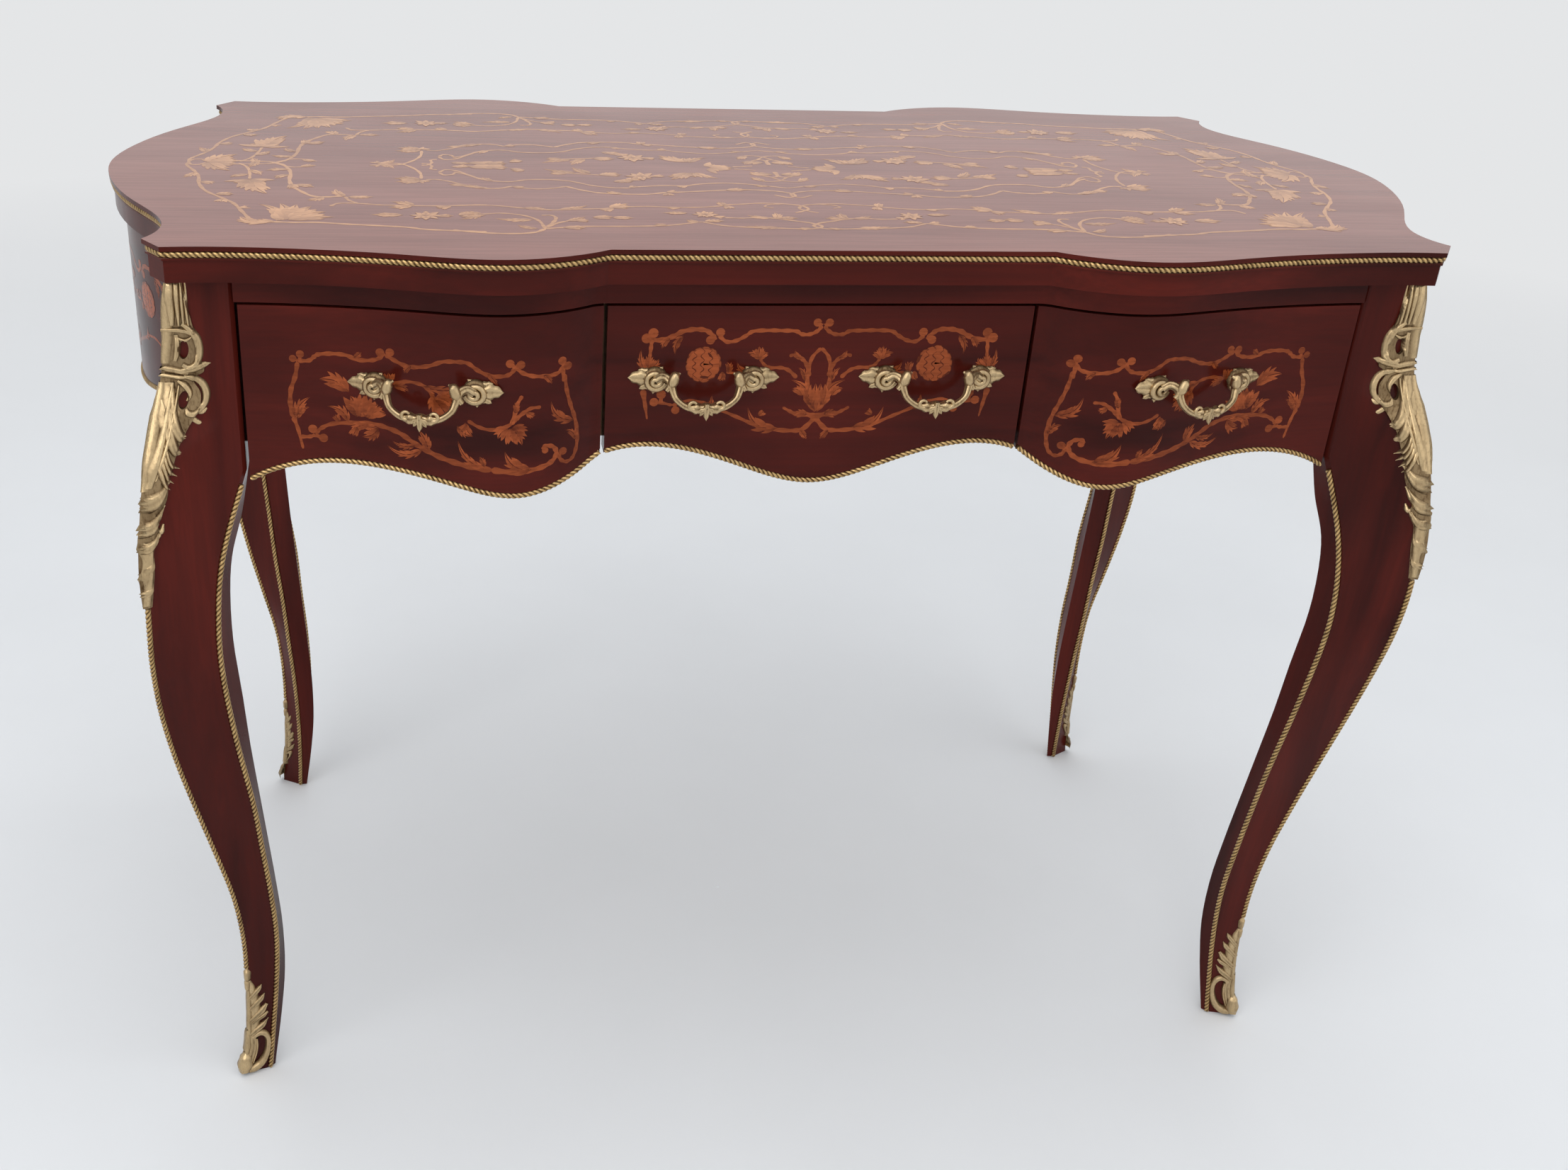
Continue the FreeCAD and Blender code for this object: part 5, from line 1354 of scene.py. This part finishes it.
def place_camera(scene):
    forward = Vector((math.sin(YAW) * math.cos(PITCH), math.cos(YAW) * math.cos(PITCH), -math.sin(PITCH)))
    level = Vector((math.cos(YAW), -math.sin(YAW), 0))
    rise = level.cross(forward)
    right = level * math.cos(ROLL) + rise * math.sin(ROLL)
    up = rise * math.cos(ROLL) - level * math.sin(ROLL)
    data = bpy.data.cameras.new("Camera")
    data.sensor_width = SENSOR
    data.lens = SENSOR * FOCAL / FRAME_WIDTH
    data.shift_x = (FRAME_WIDTH / 2 - CENTRE_X) / FRAME_WIDTH
    data.shift_y = -(FRAME_HEIGHT / 2 - CENTRE_Y) / FRAME_WIDTH
    camera = bpy.data.objects.new("Camera", data)
    turn = Matrix((right, up, -forward)).transposed().to_4x4()
    camera.matrix_world = Matrix.Translation(CAMERA_PLACE) @ turn
    scene.collection.objects.link(camera)
    scene.camera = camera


def floor_finish(colours):
    """Pale floor that passes into an even glow away from the desk, as the eye and reflections see it."""
    material, tree, shader, place = new_finish("Pale floor")
    cloud = ramp(tree, noise(tree, place, 2.5, 4.0), 0.3, 0.7)
    shade = mixed(tree, cloud, rgba(colours.floor), rgba([c * 0.96 for c in colours.floor]))
    tree.links.new(shade, shader.inputs["Base Color"])
    shader.inputs["Roughness"].default_value = 0.75
    ground = put(tree, "ShaderNodeSeparateXYZ", {}, {0: place})
    squares = [maths(tree, "MULTIPLY", ground.outputs[axis], ground.outputs[axis]) for axis in ("X", "Y")]
    far = ramp(tree, maths(tree, "SQRT", maths(tree, "ADD", squares[0], squares[1])), 1.2, 3.4)
    rays = put(tree, "ShaderNodeLightPath").outputs
    seen = maths(tree, "MAXIMUM", rays["Is Camera Ray"], rays["Is Glossy Ray"])
    seen = maths(tree, "MAXIMUM", seen, rays["Is Transmission Ray"])
    glow = put(tree, "ShaderNodeEmission", {}, {"Color": rgba(colours.floor), "Strength": 1.0})
    blend = put(tree, "ShaderNodeMixShader", {}, {0: maths(tree, "MULTIPLY", far, seen)})
    tree.links.new(shader.outputs[0], blend.inputs[1])
    tree.links.new(glow.outputs[0], blend.inputs[2])
    tree.links.new(blend.outputs[0], tree.nodes["Material Output"].inputs["Surface"])
    return material


def lay_floor(scene):
    """Round floor that bends up into a wall."""
    profile = [(0.001, 0.0), (1.0, 0.0), (3.0, 0.0), (FLAT, 0.0)]
    bend = [math.radians(a) for a in range(6, 90, 6)]
    profile += [(FLAT + BEND * math.sin(a), BEND - BEND * math.cos(a)) for a in bend]
    profile += [(FLAT + BEND, BEND), (FLAT + BEND, WALL)]
    turns = [2 * math.pi * k / FLOOR_SIDES for k in range(FLOOR_SIDES)]
    rows = [[Vector((far * math.cos(a), far * math.sin(a), z - DROP)) for a in turns] for far, z in profile]
    sweep = Shape()
    sweep.strip(rows, [[0.0] * FLOOR_SIDES] * len(rows), closed=True)
    mesh = bpy.data.meshes.new("floor")
    mesh.from_pydata([tuple(p) for p in sweep.points], [], [tuple(reversed(f)) for f in sweep.faces])
    mesh.polygons.foreach_set("use_smooth", [True] * len(mesh.polygons))
    mesh.materials.append(floor_finish(scene.desk_colours))
    floor = bpy.data.objects.new("floor", mesh)
    scene.collection.objects.link(floor)


def hang_lamps(scene):
    """Even daylight from all round and three large lamps."""
    world = bpy.data.worlds.new("Studio")
    scene.world = world
    world.use_nodes = True
    back = world.node_tree.nodes["Background"]
    back.inputs["Color"].default_value = SKY
    back.inputs["Strength"].default_value = SKY_STRENGTH
    for name, spot, aim, size, power in LAMPS:
        lamp = bpy.data.lights.new(name, "AREA")
        lamp.energy = power
        lamp.size = size
        obj = bpy.data.objects.new(name, lamp)
        way = Vector(aim) - Vector(spot)
        obj.matrix_world = Matrix.Translation(spot) @ way.to_track_quat("-Z", "Y").to_matrix().to_4x4()
        scene.collection.objects.link(obj)


# Operators

class DESK_OT_stage(bpy.types.Operator):
    """Camera, floor and soft light"""
    bl_idname = "desk.stage"
    bl_label = "Stage"

    def execute(self, context):
        scene = context.scene
        place_camera(scene)
        lay_floor(scene)
        hang_lamps(scene)
        scene.view_settings.view_transform = "Standard"
        return {"FINISHED"}


class DESK_OT_wood(bpy.types.Operator):
    """Lacquer on the top, case, legs and drawers, plain wood inside, turned bolts"""
    bl_idname = "desk.wood"
    bl_label = "Wood"

    def execute(self, context):
        c = context.scene.desk_colours
        # The top's upward faces take the lit colours: painted light and painted reflection
        dress("top_board", lacquer("Top lacquer", c.lacquer_dark, c.lacquer_red, coat=TOP_COAT,
                                   worn=(c.lit_top_dark, c.top_red)))
        for node in TIMBER:
            order = (1, 0, 2) if "side_apron" in node else (0, 1, 2)
            dress(node, lacquer("Carcass lacquer %d%d%d" % order, c.lacquer_dark, c.lacquer_red, order))
        for node in frame["nodes"]:
            if node.endswith("_leg"):
                dress(node, lacquer("Leg lacquer", c.lacquer_dark, c.lacquer_red, (2, 0, 1)))
            if node.endswith("_drawer_front"):
                dress(node, lacquer("Drawer lacquer", c.lacquer_dark, c.lacquer_red, (0, 2, 1), True))
            if node.endswith("_bolts"):
                dress(node, gilt_finish(c))
        for node in LININGS:
            dress(node, plain_wood("Lining wood", c.lining_dark, c.lining))
        return {"FINISHED"}


# Points taken along the edging of the top, of a leg, of a side apron and of the wide pieces
TOP_COUNT, LEG_COUNT, SIDE_COUNT, WIDE_COUNT = 1400, 160, 120, 260


def rope_line(node, edges):
    """Middle line of a piece of edging, closed round the top."""
    if node == "top_rope_trim":
        line = ring_line(edges, TOP_COUNT)
        return line + line[:1]
    if "leg" in node:
        return centre_line(edges, 2, LEG_COUNT)
    if "side_apron" in node:
        return centre_line(edges, 1, SIDE_COUNT)
    return centre_line(edges, 0, WIDE_COUNT)


class DESK_OT_ropes(bpy.types.Operator):
    """Twisted gilt edging on the top, legs, drawers and aprons"""
    bl_idname = "desk.ropes"
    bl_label = "Rope edging"

    def execute(self, context):
        sizes = context.scene.desk_sizes
        finish = gilt("Gilt rope", context.scene.desk_colours.rope, context.scene.desk_colours.rope_shadow)
        for node in sorted(frame["nodes"]):
            if not node.endswith("rope_trim"):
                continue
            shape = Shape()
            radius = sizes.top_rope_radius if node == "top_rope_trim" else sizes.rope_radius
            for edges in edge_lists(node):
                twisted_rope(shape, rope_line(node, edges), radius, sizes.rope_pitch)
            body = frame["nodes"][node]["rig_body"]
            piece = make_piece(node + "_twist", shape, finish, body)
            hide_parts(node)
        return {"FINISHED"}


class DESK_OT_mounts(bpy.types.Operator):
    """Leaves and scrolls on the corner mounts"""
    bl_idname = "desk.mounts"
    bl_label = "Corner mounts"

    def execute(self, context):
        finish = gilt_finish(context.scene.desk_colours)
        skin = LegSkin(context.scene.desk_sizes, "front_right_corner_mount")
        on_four_legs("mount_leaves", casting(skin, MOUNT_LINES, MOUNT_CREST), finish)
        for node in frame["nodes"]:
            if node.endswith("corner_mount"):
                dress(node, gilt_ground(context.scene.desk_colours))
        return {"FINISHED"}


class DESK_OT_sabots(bpy.types.Operator):
    """Leaves and scrolls on the foot castings"""
    bl_idname = "desk.sabots"
    bl_label = "Sabots"

    def execute(self, context):
        finish = gilt_finish(context.scene.desk_colours)
        skin = LegSkin(context.scene.desk_sizes, "front_right_leg")
        on_four_legs("sabot_cast", casting(skin, SABOT_LINES, SABOT_CREST), finish, "sabot")
        return {"FINISHED"}


class DESK_OT_handles(bpy.types.Operator):
    """Cast drop handles with volutes, leaf tips and a ribbed bail"""
    bl_idname = "desk.handles"
    bl_label = "Handles"

    def execute(self, context):
        sizes = context.scene.desk_sizes
        finish = gilt_finish(context.scene.desk_colours)
        for node in sorted(n for n in frame["nodes"] if n.endswith("_handle")):
            low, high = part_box(node)
            level = low.z + HANDLE_RISE
            body = frame["nodes"][node]["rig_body"]
            front = caster(body.replace("drawer_", "") + "_drawer_front")

            def front_at(x):
                return on_drawer(front, x, level)[0]

            mid = (low.x + high.x) / 2
            along = (front_at(mid + SLOPE_HALF) - front_at(mid - SLOPE_HALF)).normalized()
            out = Vector((along.y, -along.x, 0))
            centre = front_at(mid)
            seats = []
            for sign in (-1, 1):
                spot = front_at((centre + along * (sign * sizes.rosette_half)).x)
                seats.append((spot - centre).dot(out))
            change = Matrix((along, out, Vector((0, 0, 1)))).transposed().to_4x4()
            shape = handle_shape(sizes, seats).moved(Matrix.Translation(centre) @ change)
            piece = make_piece(node + "_cast", shape, finish, body)
            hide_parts(node)
        return {"FINISHED"}


class DESK_OT_inlay(bpy.types.Operator):
    """Foliage inlaid in the top, the drawer fronts and the side aprons"""
    bl_idname = "desk.inlay"
    bl_label = "Inlay"

    def execute(self, context):
        sizes = context.scene.desk_sizes
        c = context.scene.desk_colours

        def on_top(point, layer):
            return Vector((point.x * MM, -point.y * MM, TOP_LEVEL + sizes.inlay_lift + layer * INLAY_STEP))

        inlay = Inlay(on_top, sizes.seed)
        for sx in (1, -1):
            for sy in (1, -1):
                inlay.layer = 0.25 * (sx + 1) + 0.125 * (sy + 1)
                draw(inlay, TOP_DESIGN, sx, sy, STOUT)
        # Lit colours of the top's inlay: painted light and painted reflection
        finish = inlay_wood("Top inlay", c.lit_top_inlay_dark, c.lit_top_inlay_light, TOP_COAT)
        make_piece("top_inlay", inlay.shape, finish, "carcass")
        finish = inlay_wood("Drawer inlay", c.inlay_dark, c.inlay_light, CASE_COAT)
        for hand, body in DRAWERS.items():
            front = caster(hand + "_drawer_front")

            def on_front(point, layer):
                spot, way = on_drawer(front, point.x * MM, point.y * MM)
                return spot + way * (sizes.inlay_lift + layer * INLAY_STEP)

            inlay = Inlay(on_front, sizes.seed)
            if hand == "center":
                draw_halves(inlay)
            else:
                draw(inlay, SIDE_DESIGN, 1 if hand == "right" else -1, 1, SIDE_STOUT)
            make_piece(hand + "_drawer_inlay", inlay.shape, finish, body)
        for hand, sign in (("left", -1), ("right", 1)):
            apron = caster(hand + "_side_apron")

            def on_side(point, layer):
                start = Vector((sign * BESIDE, point.x * APRON_STRETCH * MM, (point.y + APRON_RAISE) * MM))
                hit = apron.ray_cast(start, Vector((-sign, 0, 0)))
                if hit[0] is None:
                    raise RuntimeError("no side apron at %.4f, %.4f" % (start.y, start.z))
                way = Vector((hit[1].x, hit[1].y, 0)).normalized()
                return hit[0] + way * (sizes.inlay_lift + layer * INLAY_STEP)

            inlay = Inlay(on_side, sizes.seed)
            draw_halves(inlay)
            make_piece(hand + "_side_inlay", inlay.shape, finish, "carcass")
        return {"FINISHED"}


OPERATORS = (DESK_OT_stage, DESK_OT_wood, DESK_OT_ropes, DESK_OT_mounts, DESK_OT_sabots, DESK_OT_handles,
             DESK_OT_inlay)


class DESK_PT_panel(bpy.types.Panel):
    """Buttons that dress the desk, in order"""
    bl_idname = "DESK_PT_panel"
    bl_label = "Writing desk"
    bl_space_type = "VIEW_3D"
    bl_region_type = "UI"
    bl_category = "Desk"

    def draw(self, context):
        for operator in OPERATORS:
            self.layout.operator(operator.bl_idname)
        for settings in (context.scene.desk_sizes, context.scene.desk_colours):
            column = self.layout.column()
            for key in settings.__annotations__:
                column.prop(settings, key)


CLASSES = (DeskSizes, DeskColours) + OPERATORS + (DESK_PT_panel,)


def register():
    for item in CLASSES:
        bpy.utils.register_class(item)
    bpy.types.Scene.desk_sizes = PointerProperty(type=DeskSizes)
    bpy.types.Scene.desk_colours = PointerProperty(type=DeskColours)


def unregister():
    del bpy.types.Scene.desk_colours
    del bpy.types.Scene.desk_sizes
    for item in reversed(CLASSES):
        bpy.utils.unregister_class(item)


def main():
    register()
    bpy.ops.desk.stage()
    bpy.ops.desk.wood()
    bpy.ops.desk.ropes()
    bpy.ops.desk.mounts()
    bpy.ops.desk.sabots()
    bpy.ops.desk.handles()
    bpy.ops.desk.inlay()


if __name__ == "__main__":
    main()
